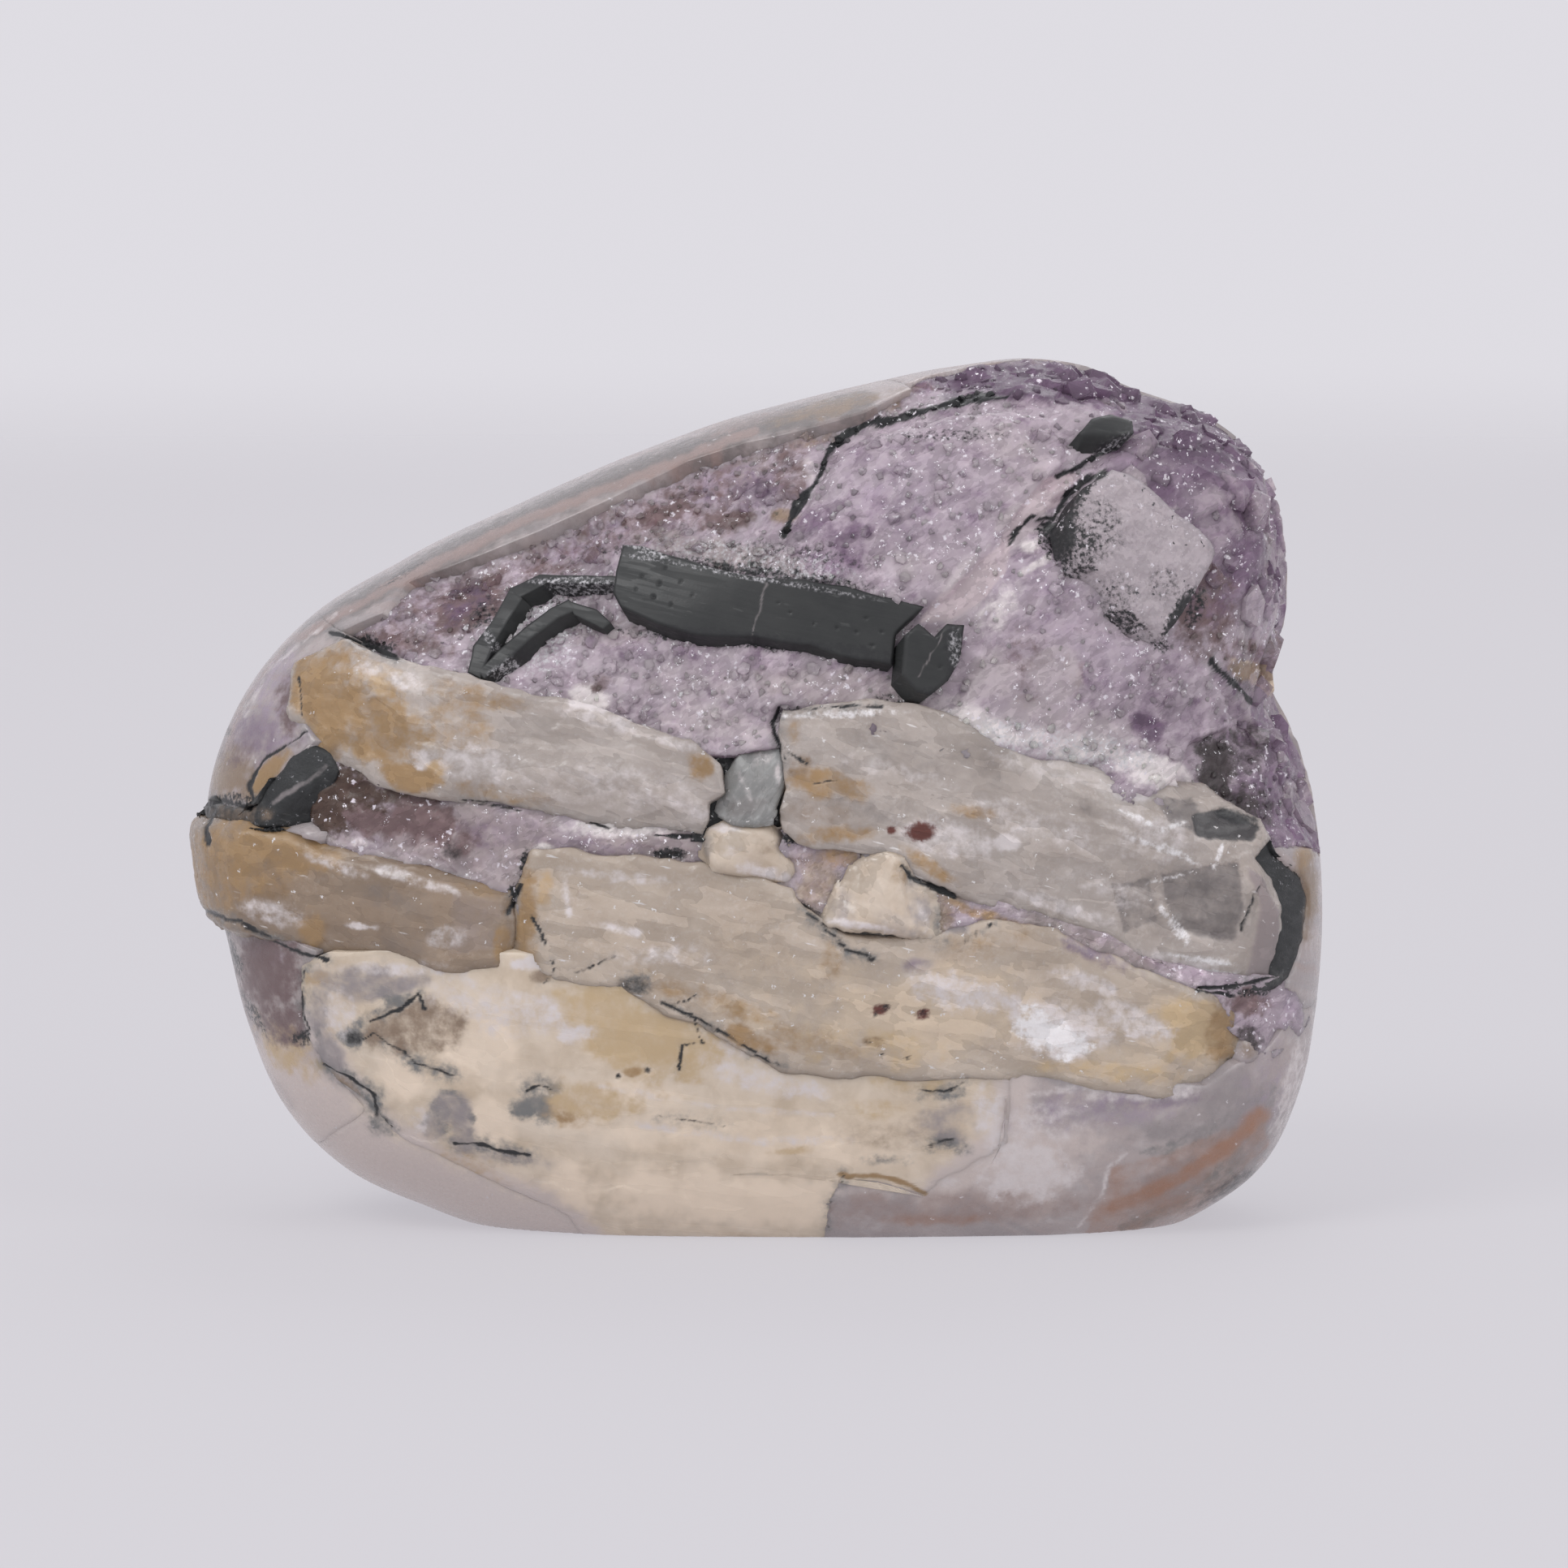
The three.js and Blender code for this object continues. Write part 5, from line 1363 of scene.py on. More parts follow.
blackLook = {
    **darkLook,
    "base": (0.014, 0.016, 0.016), "second": (0.024, 0.026, 0.027), "cloud": 1.2,
    "streak": (0.03, 0.032, 0.034), "fibreLength": 2.0, "fibreWidth": 1.0, "fine": 0.25,
    "relief": 0.12, "rough": 0.42,
    "specks": [((0.24, 0.24, 0.25), 0.4, 0.1)],
}
endLeft = {
    "name": "endLeft", "node": "dark_end_left", "slot": "black_druse",
    "swell": 0.4, "rounding": (0.3, 0.5), "widened": 0.3, "spacing": 0.2,
    "outline": [
        (-56.4, 41.2), (-55.6, 42.6), (-53.6, 41.4), (-50.6, 41.8), (-49.3, 43.6), (-47, 46.6),
        (-45.1, 48.1), (-43, 46.8), (-42.6, 45.2), (-43.7, 41.5), (-44.6, 39.7), (-47, 39.3), (-53, 40.1),
    ],
    "corners": (1, 6, 8, 12),
    "facets": [((-46, 44.6), -0.1, (-0.2, -1, 0.3)), ((-46, 44), -0.1, (0.1, -1, -0.4))],
    "bumps": [(3, 0.2), (0.9, 0.1)],
    "stains": {"tan": [(-53, 41, 3, 0.8, 0.4), (-43.6, 41, 1, 1.4, 0.4)]},
    "bands": [("grey", [(-49.5, 42.2), (-46, 44.3), (-44, 45.8)], 0.45, 0.6)],
}
endRight = {
    "name": "endRight", "node": "dark_end_right", "slot": "black_druse",
    "swell": -0.1, "rounding": (0.3, 0.6), "widened": 0.1, "spacing": 0.2,
    "outline": [
        (52.6, 39.3), (53, 37.2), (54.6, 35.7), (56.2, 34.5), (57, 32.3), (56.4, 27.6), (55.2, 24),
        (52.5, 22.5), (46, 22.9), (46.2, 24.4), (53.1, 24.2), (53.6, 30.8), (52.5, 32.2), (52, 34.6),
        (50.4, 36.4),
    ],
    "corners": (0, 1, 8, 9),
    "bumps": [(3, 0.2), (0.9, 0.12)],
    "stains": {"tan": [(57, 27, 0.7, 6, 0.8)]},
}

# The druse

# its colour is laid over the ground sheet and the points alike
lining = {
    "rest": -1.6,               # its own level against the polished skin
    "brim": -0.35,              # its level at its border
    "brimWidth": 4,
    "spacing": 0.3, "rows": 155, "seat": 3.0,
    "lower": [
        (-45.5, 57.6), (-40, 55.5), (-32, 52.4), (-20, 49), (-8, 46.5), (-4.4, 46.9), (-1.6, 46.9),
        (0.5, 47.7), (3.2, 48), (8, 48.5), (28, 44), (40, 41), (50, 36.4), (54, 37.3), (57, 37.6),
    ],
    "upper": [
        (-45.5, 57.6), (-42.5, 60.4), (-38.6, 62.2), (-35.8, 65.4), (-30.5, 67.4), (-25, 69.6),
        (-19, 72.2), (-13, 75), (-7, 77.9), (-1, 79.8), (6, 81.4), (11, 82.8), (15.5, 84.8),
    ],
    # behind the rim: way along it, from the right side up and over the top, and y there
    "behind": [
        (-18, -12), (-13.5, -4), (-8, 3.5), (-2, 5.5), (5, 1.5), (11, 4.5), (18, 8), (25, 5.5), (32, 7),
        (39, 1.5), (45, -1), (50, -6), (100, -6),
    ],
    "behindFrom": 68.5,         # angles round the heart between which it goes behind the rim
    "behindTo": -2.4,
    "mounds": [                 # swells and dips: x, z, half width, height
        (31, 59, 10, 0.8), (-6, 55, 9, 0.6), (-20, 68, 7, -0.6), (-4, 74, 7, -0.7),
        (53, 44, 6, -0.6), (8, 70, 4, 0.5), (28, 64, 4, 0.4), (-24, 60, 3, -0.5),
    ],
    "terraces": [               # outline, rise, width of its slope
        ([
            (3.2, 70), (6.5, 75), (9, 79.5), (12, 81), (20, 82.8), (26, 83.4), (30.5, 82.5),
            (32.5, 79.5), (32, 77), (30.2, 75.5), (28, 73), (24, 68), (20, 63.5), (17.5, 62.2),
            (9, 64.2), (0, 65.2),
        ], 0.7, 0.8),
        ([
            (31.8, 75.9), (29, 74), (27.8, 72), (25.5, 69.5), (22, 67.5), (20.5, 65),
            (19, 62.5), (17, 60.5), (21, 60.5), (24, 61.5), (25.7, 64.5), (25.8, 67), (26.5, 70),
            (29, 71.5), (31.5, 72), (34, 76.2),
        ], 0.35, 0.8),
        ([
            (21, 52), (24, 48), (30, 46.5), (35.5, 46), (41, 42.8), (44.3, 44.6), (46, 48.5),
            (49.8, 50), (49.8, 53), (47, 57), (41, 59), (33, 60), (25, 59),
        ], 0.6, 0.9),
        ([
            (44.6, 45), (46.4, 48.3), (50.4, 50), (50.6, 53), (54, 50), (52, 41), (50, 37.5),
            (46, 42.6),
        ], -1.3, 1.2),
    ],
    "silk": [(22, 65, 2.2, 4.4, 1, -35), (27.5, 71, 1.6, 3.6, 1, -50), (30.8, 55.6, 2.2, 2.6)],
    "chips": [(3.6, 3.0, 20, 0.3, 2), (1.6, 1.4, 0, 0.13, 13), (0.8, 0.7, 0, 0.06, 20)],
    "largeChips": [(4.4, 3.6, 60, 0.8, 6), (2.1, 1.8, 0, 0.2, 17)],
    "stains": {
        "lilac": [
            (-17, 69, 4, 2, 0.6, 20), (-4, 74.6, 3, 1.6, 0.8, 20), (16, 75, 9, 4, 0.4),
            (31, 64, 6, 5, 0.4), (-38, 61.4, 4, 1.4, 0.6, 30), (53, 60.5, 2.4, 2.6, 0.9),
            (35, 57, 6, 3, 0.4), (52, 76, 1.6, 3, 0.6),
        ],
        "mauve": [
            (36, 64, 4, 3, 0.3), (14.6, 70.4, 5, 3, 0.5), (28, 59, 4, 3, 0.3), (54, 44, 4.4, 8, 0.8),
            (-19, 60, 4, 2, 0.3), (-12, 57.2, 3, 1, 0.5), (41, 52, 6, 3, 0.4, -20), (0, 74, 4, 2.4, 0.5),
        ],
        "ash": [(10, 53.6, 9, 1.8, 0.6, -6), (-16, 59.6, 4, 1.6, 0.5), (-3, 67.6, 9, 1.6, 0.7, -14)],
        # painted shade: the patches along the upper left, under the polished rim, and the one at the dark
        # ledge on the right
        "duskAndShade": [
            (-29, 62.4, 4.4, 2.2, 1, 30), (-10, 71.6, 3, 1.4, 1, 20), (-2.5, 71, 3, 1.3, 1, 10),
            (46, 62, 2.8, 4.6, 0.7), (-36, 58.6, 5, 1.2, 0.7, -10), (28, 57, 2, 3, 0.3),
            (50, 57.6, 3, 1.4, 0.5), (-16, 54.4, 1.6, 1, 0.7), (3.4, 76, 2, 3, 0.6),
            (-19, 69.4, 3, 1, 0.5, 20),
        ],
        "purple": [
            (6, 71, 2.4, 1.4, 0.8, 30), (9.4, 69.4, 3.4, 1.6, 0.7), (7.6, 66.8, 3.4, 1.2, 0.6),
            (-8, 57, 2, 1.1, 0.6), (40.2, 50, 2, 1.4, 0.9, -30), (43, 56, 3.4, 2, 0.3),
            (30, 66, 3, 1.6, 0.3, 20), (37, 83.4, 5, 1.6, 0.5, -20), (45, 78, 5, 4, 0.3, -30),
            (50, 67, 2, 3, 0.4), (26, 84.6, 3, 1, 0.5), (43.4, 70.8, 2.6, 1, 0.4, -40),
            (52, 46, 3, 6, 0.4), (14, 76, 2, 1.2, 0.3, 20),
        ],
        "amber": [(32.4, 55.6, 1.4, 2.6, 0.3), (28, 52.4, 1.4, 1, 0.3)],
        "silk": [
            (-5, 53.6, 8, 2.4, 0.5, -8), (8, 53.6, 9, 2, 0.5, -6), (32, 50, 7, 2.4, 0.7, -10),
            (22, 64.6, 1.8, 4.6, 1, -35), (27.8, 71.2, 1.5, 4, 1, -50), (20, 61.4, 2, 1.4, 0.8),
            (-4, 50.4, 7, 2, 0.8, -12), (-20, 49.8, 5, 1.4, 0.8, -14), (29, 50.6, 5, 2, 0.7, -10),
            (28, 76, 3, 2, 0.5, 30), (25, 55, 4, 2.8, 0.8), (48, 71.6, 3.6, 4.4, 0.3),
            (51, 60, 2, 2.4, 0.5), (16, 66, 5, 1.4, 0.5, -10), (26, 79, 4, 2, 0.6, -20),
        ],
        "bloom": [
            (24, 50, 5, 1.6, 0.9, -20), (32, 48.4, 6, 1.6, 0.9, -10), (40, 45.6, 4, 1.6, 0.9, -20),
            (-14, 49.4, 6, 1.2, 0.7, -14), (-17, 52.5, 1.8, 1.5, 0.9), (25, 62.4, 1.6, 3.6, 0.5, -35),
            (28.4, 68.4, 1.4, 1, 0.9), (-42, 60.4, 3, 0.6, 0.5, 35), (29, 66.6, 2.6, 0.5, 0.7, 30),
            (44, 44.6, 0.8, 1.8, 0.7, 30), (5.4, 76.4, 1.2, 1.4, 0.5), (36, 49, 4, 1.2, 0.4, -20),
            (-13.6, 47.6, 4, 0.6, 0.6, -14), (0, 76.4, 2, 1.4, 0.4, 20), (-12, 74, 3, 1, 0.3, 24),
        ],
        "plum": [
            (45, 80.6, 8, 5, 0.95, -30), (30, 85.6, 16, 2.2, 1.0, -2), (0.4, 74.4, 2.4, 2, 0.5, 20),
            (7, 69.6, 4, 1.6, 0.4, 10), (-30, 62.4, 3, 2, 0.5, 30), (40.4, 50, 2, 1.4, 0.5, -30),
            (52, 66, 2, 3, 0.3),
        ],
        # painted shadow and shade: the first three patches darken the sunk place beside the raised shelf's
        # right end, the last the step along the shelf's upper right edge
        "gloomAndShadow": [
            (47.4, 45.4, 2, 4.2, 0.9), (49.6, 41, 2.8, 3.4, 0.8), (50.2, 47.4, 3, 3, 0.5),
            (50, 54.6, 2, 0.6, 0.4, -40),
        ],
        "tan": [(2.9, 71.5, 1.5, 0.9, 0.9), (51, 55.4, 2, 0.9, 0.9, -20), (6, 79.6, 3, 1, 0.5, 20)],
        "cream": [(52.8, 54.5, 1.6, 1.8, 0.9, 30), (50.2, 56.4, 1.6, 0.5, 0.8, -16)],
        # the long thin patch just under the long dark bar is painted shadow beneath it
        "gritAndShadow": [
            (-40, 58.4, 3, 0.7, 0.9, -10), (0, 65.8, 12, 0.7, 0.75, -8), (3, 67.6, 9, 1.2, 0.25, -8),
            (31, 69.4, 1.6, 1.8, 0.8), (0, 58.4, 14, 0.5, 0.7, -6), (-26.6, 60, 1.6, 3, 0.4, 30),
            (40, 59.8, 3, 0.8, 0.6, -40), (45.4, 62.4, 0.8, 2, 0.6, -20), (20, 79.8, 7, 0.5, 0.3),
            (15, 52.6, 3, 0.6, 0.4), (-22, 62, 4, 2, 0.3, 20),
        ],
        "salt": [
            (0, 67.2, 11, 1.4, 0.25, -10), (-22, 60.6, 4, 3, 0.35, 30), (-21, 57, 3, 1.4, 0.3, 20),
            (32, 48, 9, 1.6, 0.3, -12),
        ],
    },
    "bands": [
        # painted shade: this first band darkens the hollow's upper left wall under the overhanging
        # polished rim
        ("duskAndShade", [(-37, 60), (-30, 63.4), (-22, 67), (-14, 70.4), (-6, 73.6), (0, 77)], 4.4, 0.5),
        ("tan", [(0, 79.4), (8, 81.6), (14, 83.2)], 1.6, 0.5),
        ("purple", [(17, 85.6), (24, 87), (31, 87.4), (38, 85.6), (45, 83)], 2.6, 0.7),
        ("duskAndShade", [(15, 84.6), (24, 86.8), (32, 87.6), (44, 83.6)], 1.4, 0.6),
    ],
    "panels": [
        ("pane", 0.85, 0, [
            (32.6, 76.2), (29.4, 75.2), (27, 72), (25, 68.6), (21.6, 65.4), (18, 62.6), (16.6, 60.4),
            (20, 60.8), (23.4, 62.6), (25.6, 65.4), (26.4, 68.6), (28, 71), (31, 72.4), (33.4, 75.6),
        ]),
        ("silk", 0.7, 0, [(28.6, 57.6), (32.4, 58.6), (33.8, 54), (30.6, 51.6), (28.4, 54)]),
    ],
}
amethystLook = {
    **calciteLook,
    "base": (0.295, 0.238, 0.276), "second": (0.415, 0.355, 0.392), "cloud": 2.6, "flakeShare": 0.5,
    "fibreTurn": 30, "fibreLength": 2.0, "fibreWidth": 1.2, "streak": (0.37, 0.31, 0.345),
    "streakShare": 0.6, "scratches": 0.0, "edge": (0.52, 0.47, 0.51), "edgeShare": 0.2,
    "cellShare": 0.14, "cellStep": 0.8, "fine": 0.3, "relief": 0.04, "rough": 0.3,
    # painted glints: pale and near-white flecks standing in for light caught by tiny crystal faces
    "specks": [((0.62, 0.58, 0.62), 0.7, 0.1), ((0.88, 0.86, 0.89), 0.4, 0.06)],
    "glow": 0.8, "glowTint": (1.0, 0.8, 1.0), "glowDepth": 1.8, "ior": 1.55, "shine": 0.25,
}

# smaller places where druse shows between the calcite crystals
pocketLeft = {
    "name": "pocketLeft", "node": "stone_body", "slot": "amethyst",
    "swell": -1.3, "rounding": (0, 1), "spacing": 0.22,
    "outline": [
        (-46.5, 40.5), (-44.5, 46.5), (-42, 46.8), (-37, 44.6), (-31, 43), (-24, 42), (-15, 40),
        (-5, 39.4), (-4.8, 35.6), (-10, 35.6), (-16, 35.8), (-22, 36.3), (-23.8, 33), (-25, 32.2),
        (-31, 33.6), (-37, 35), (-44, 37.2),
    ],
    "corners": (1, 7, 8, 16),
    "bumps": [(3, 0.4), (1.2, 0.15)],
    "chips": [(3, 2.4, -14, 0.35, 3), (1.2, 1.0, 0, 0.15, 12)],
    "stains": {
        "brown": [
            (-41.4, 43.4, 4.4, 3, 1, -20), (-44.4, 42, 3, 3.4), (-36, 42.6, 4, 1.1, 0.9, -14),
            (-40, 41, 3, 1.6, 0.8),
        ],
        "duskAndShade": [
            (-34.4, 40.4, 4, 2, 1, -14), (-38.6, 40, 3, 1.4, 1, -10), (-31, 38.6, 2.4, 1.6, 0.6, -20),
        ],
        "mauve": [(-28, 39, 3.6, 1.4, 0.4, -14), (-16.5, 37.6, 4.5, 0.7, 0.4, -4)],
        "ash": [(-30, 38, 14, 5, 0.75, -12), (-12, 38, 8, 2, 0.75)],
        "bloom": [
            (-14.5, 39.3, 5, 0.8, 0.8, -4), (-37, 36.4, 1.2, 0.6, 0.9), (-31.6, 37.6, 1, 1, 0.4),
            (-40.4, 38, 1.6, 0.5, 0.5, -10), (-22, 37.4, 1.4, 0.7, 0.6),
        ],
        "silk": [(-33, 35.4, 6, 0.8, 0.8, -16), (-26, 35.6, 2, 1.6, 0.4)],
        "gloomAndShadow": [(-31, 37.4, 1, 1.2, 0.5, 40), (-8.6, 36.8, 1.6, 0.5, 0.8)],
        "gritAndShadow": [(-24.7, 33, 0.6, 0.9), (-23.2, 35.2, 0.9, 1.7, 0.9), (-8.6, 36.9, 1.6, 0.6, 0.9)],
    },
}
pocketMiddle = {
    **pocketLeft,
    "name": "pocketMiddle", "swell": -1.2,
    "outline": [
        (-6.2, 47.8), (-1, 47.8), (3.9, 47.6), (3.9, 42), (3.9, 38.2), (-1, 38.4), (-6.2, 38.4),
        (-6.2, 43),
    ],
    "corners": (0, 2, 4, 6), "stains": {"gritAndShadow": [(-1, 43, 9, 9)]},
}
pocketTooth = {
    **pocketLeft,
    "name": "pocketTooth", "swell": -0.3,
    "outline": [
        (2.8, 38.8), (7, 38.6), (10.8, 37.4), (10.4, 34.5), (9, 31.5), (7.4, 28.6), (4.2, 30.6),
        (2.8, 33.4),
    ],
    "corners": (0, 2, 5, 7),
    "stains": {
        "tan": [(7, 34, 4, 4.4, 0.4)], "ochre": [(8.6, 36.6, 2, 1, 0.7)],
        "cream": [(6.4, 33.6, 2.4, 3, 0.5)],
        "gritAndShadow": [(3.6, 38.6, 1.4, 1, 0.9), (5.6, 30.6, 1.6, 0.7, 0.9, -40), (9.4, 32.4, 0.5, 2, 0.7, 20)],
    },
}
pocketRight = {
    **pocketLeft,
    "name": "pocketRight", "swell": -0.1,
    "outline": [
        (13.6, 37.4), (20.5, 33.4), (26, 31.2), (36, 28), (41, 25.2), (46.4, 24.2), (54, 24), (56.4, 20),
        (52.6, 15.6), (50, 18.4), (48.4, 20.6), (45.2, 22), (40, 23.8), (35, 25.8), (30, 28.2),
        (24.5, 29.2), (18.4, 26.8), (15.2, 28), (14.6, 33),
    ],
    "corners": (0, 6, 8, 17),
    "stains": {
        "tan": [(17.5, 31.5, 4, 4, 0.7)], "cream": [(17, 31, 2, 2.4, 0.8)],
        "ochre": [(24, 30.4, 4, 0.7, 0.6, -20)],
        "ash": [(34, 27.2, 9, 2, 0.8, -20)], "lilac": [(55, 21, 1.6, 2.4, 0.5)],
        "duskAndShade": [(50.6, 21.4, 2, 1.4, 0.9)], "gloomAndShadow": [(51, 18, 1.6, 1.6, 0.8)],
        "gritAndShadow": [(51, 22.6, 2.4, 0.5, 0.7)],
    },
}

pockets = [pocketLeft, pocketMiddle, pocketTooth, pocketRight]


def dress(name, look, forms, others=()):
    # makes a material with all that it stains, and then its pieces
    material = mineral(name, look, [*others, *forms])
    for form in forms:
        makeCrystal(form, material)
    return material


dress("paleCalcite", calciteLook, [bladeUpperLeft, bladeUpperRight])
dress("amberCalcite", {
    **calciteLook, "base": (0.20, 0.143, 0.098), "second": (0.29, 0.22, 0.16), "cloud": 8.0,
    "streak": (0.40, 0.34, 0.28), "streakLevel": 0.66, "fibreTurn": -8, "cellShare": 0.1,
    "scratch": (0.52, 0.47, 0.43), "edge": (0.46, 0.41, 0.37),
}, [bladeLowerLeft])
dress("beigeCalcite", {
    **calciteLook, "base": (0.365, 0.295, 0.23), "second": (0.49, 0.415, 0.34),
    "streak": (0.54, 0.48, 0.42), "fibreTurn": -12,
}, [bladeLower])
dress("creamCalcite", creamLook, [creamMass])
dress("lumpCalcite", {
    **creamLook, "base": (0.43, 0.345, 0.26), "second": (0.53, 0.45, 0.365), "cloud": 3.0,
    "fibreTurn": 60, "fibreLength": 3.0, "cellShare": 0.12,
}, [creamLump, creamTooth])
dress("blueGreyCalcite", {
    **calciteLook, "base": (0.175, 0.178, 0.172), "second": (0.26, 0.26, 0.25), "cloud": 3.0,
    "streak": (0.40, 0.40, 0.39), "fibreTurn": 60,
}, [greyCrystal])
dress("darkMineral", darkLook, [
    barLong, barCross, frameSide, frameTop, frameInner, frameEnd, wedge,
])
dress("speckledDruse", speckledLook, [block])
dress("blackDruse", blackLook, [endLeft, endRight])
amethyst = dress("amethyst", amethystLook, pockets, [lining])


def liningOutline():
    # the front sides unrolled, and the edge behind the rim found angle by angle from its y
    lower = list(zip(*skinMap(*onFace(*np.array(lining["lower"], float).T))))
    upper = list(zip(*skinMap(*onFace(*np.array(lining["upper"], float).T))))
    angle = np.linspace(lining["behindFrom"], lining["behindTo"], 90) * degree
    share = np.ones(90)
    along, level = np.array(lining["behind"], float).T
    for _ in range(6):
        radius = stoneRadius(angle) * share
        x, z = heartX + radius * np.cos(angle), heartZ + radius * np.sin(angle)
        y = np.interp((z - x) / math.sqrt(2), along, level)
        depth = np.where(y < 0, stone["frontDepth"], stone["backDepth"])
        n = np.where(y < 0, stone["frontFullness"], stone["backFullness"])
        share = (1 - np.clip(np.abs(y) / depth, 0, 1) ** n) ** (1 / n)
    ahead = np.interp(share, frontShare, frontWay)
    past = rimWay + backWay[-1] - np.interp(share, backShare, backWay)
    way = np.where(y < 0, ahead, past)
    return lower, upper + list(zip(way * np.cos(angle), way * np.sin(angle)))


liningLower, liningUpper = liningOutline()
liningRing = liningUpper + liningLower[::-1]


def coarse(points):
    # where the crystals are large: the upper right corner and the rim behind it
    u, v = seenAt(points)
    corner = np.hypot((u - 48) / 14, (v - 76) / 17)
    top = ease(v + 0.25 * u, 90, 93)
    side = ease(points[..., 1], -16, -10) * ease(u, 40, 46)
    return np.maximum.reduce([1 - ease(corner, 0.75, 1.05), top, side])


def liningSwell(p, q):
    # Deeper away from its border, with soft mounds, flat terraces, chips that are small or large,
    # low bumps and a crease along each vein. Nothing stands out of the polished skin.
    flat = skinPoint(p, q)
    x, z = flat[..., 0], flat[..., 2]
    u, v = seenAt(flat)
    inward = ease(insideDistance(p, q, liningRing), 0, lining["brimWidth"])
    swell = lining["brim"] + (lining["rest"] - lining["brim"]) * inward
    for at, rise, wide, high in lining["mounds"]:
        swell += high * np.exp(-((x - at) ** 2 + (z - rise) ** 2) / wide**2)
    for outline, high, slope in lining["terraces"]:
        swell += high * ease(insideDistance(u, v, outline), -slope / 2, slope / 2)
    large = coarse(flat)
    calm = 1 - patches(u, v, lining["silk"], 30)
    edge, flake = np.zeros(u.shape), np.full(u.shape, 0.5)
    for share, chip in zip((0.7, 0.8, 0.4), lining["chips"]):
        level, gap, tone = chipped(p, q, chip)
        swell += level * calm * (1 - 0.7 * large)
        edge = np.maximum(edge, (1 - ease(gap, 0.02, 0.16)) * calm * (1 - large))
        flake += (tone - 0.5) * share * calm * (1 - 0.8 * large)
    for share, chip in zip((1.3, 0.8), lining["largeChips"]):
        level, gap, tone = chipped(p, q, chip)
        swell += level * large
        flake += (tone - 0.5) * share * large
    swell += 0.3 * cloudy(*np.moveaxis(flat, -1, 0), 4, 3, 41)
    swell += 0.12 * cloudy(*np.moveaxis(flat, -1, 0), 0.9, 2, 45) * calm
    for line, width, shade in veins:
        swell -= 0.5 * np.exp(-((lineDistance(u, v, line) / (width + 0.2)) ** 2))
    return np.minimum(swell, 0.08), edge, np.clip(flake, 0, 1)


def toned(marks, tone, large):
    # the darkest crystals are purple and the palest silky, more so among the large ones
    share = 0.35 + 0.5 * large
    marks["purple"] = np.maximum(marks["purple"], share * ease(0.4 - tone, 0, 0.4))
    marks["silk"] = np.maximum(marks["silk"], 0.6 * share * ease(tone - 0.66, 0, 0.3))
    marks["mauve"] = np.maximum(marks["mauve"], 0.85 * large)
    return marks


def wornBack(points):
    # what stands out of the polished skin is moved back onto it: the offset from the heart shrinks
    # by f^(-1/n), where f = (r / R)^n + (y / D)^n is more than 1 outside
    x, y, z = points[:, 0] - heartX, points[:, 1], points[:, 2] - heartZ
    n = np.where(y < 0, stone["frontFullness"], stone["backFullness"])
    depth = np.where(y < 0, stone["frontDepth"], stone["backDepth"])
    radius = stoneRadius(np.arctan2(z, x))
    beyond = (np.hypot(x, z) / radius) ** n + (np.abs(y) / depth) ** n
    shrink = np.maximum(beyond, 1)[:, None] ** (-1 / n[:, None])
    return np.stack([x, y, z], axis=1) * shrink + np.array([heartX, 0, heartZ])


def makeLining():
    p, q = spreadBetween(
        liningLower, [liningLower[-1], liningUpper[-1]], liningUpper,
        [liningLower[0], liningUpper[0]], lining["spacing"], rows=lining["rows"],
    )
    swell, edge, flake = liningSwell(p, q)
    points = skinPoint(p, q, swell)
    marks = toned(marksOf(lining, *seenAt(points)), flake, coarse(points))
    marks.update({"edge": edge, "flake": flake})
    points, faceSets, marks = closeSheet(points, lining["seat"], marks)
    makePiece(
        "liningGround", "amethyst_druse", amethyst, points, faceSets, marks,
        len(faceSets[0]),
    )


makeLining()


def strew(pitch, ring, reach):
    # a triangular lattice on the unrolled skin, each place moved by chance, kept inside a ring
    low, high = np.min(ring, axis=0), np.max(ring, axis=0)
    rows = np.arange(int((high[1] - low[1]) / pitch / 0.87) + 1)
    columns = np.arange(int((high[0] - low[0]) / pitch) + 2)
    q = low[1] + rows[:, None] * pitch * 0.87 + 0 * columns[None, :]
    p = low[0] + (columns[None, :] + rows[:, None] % 2 / 2) * pitch
    p = (p + chance.normal(size=p.shape) * pitch * 0.3).ravel()
    q = (q + chance.normal(size=q.shape) * pitch * 0.3).ravel()
    kept = insideDistance(p, q, ring) > reach
    return p[kept], q[kept]


def liningShape(p, q):
    return skinPoint(p, q, liningSwell(p, q)[0])


def outwardAt(shape, p, q):
    # the way a shape on the unrolled skin faces: its small steps along both directions
    step = 0.4
    right = shape(p + step, q) - shape(p - step, q)
    up = shape(p, q + step) - shape(p, q - step)
    out = np.cross(right, up)
    return out / np.linalg.norm(out, axis=-1, keepdims=True)


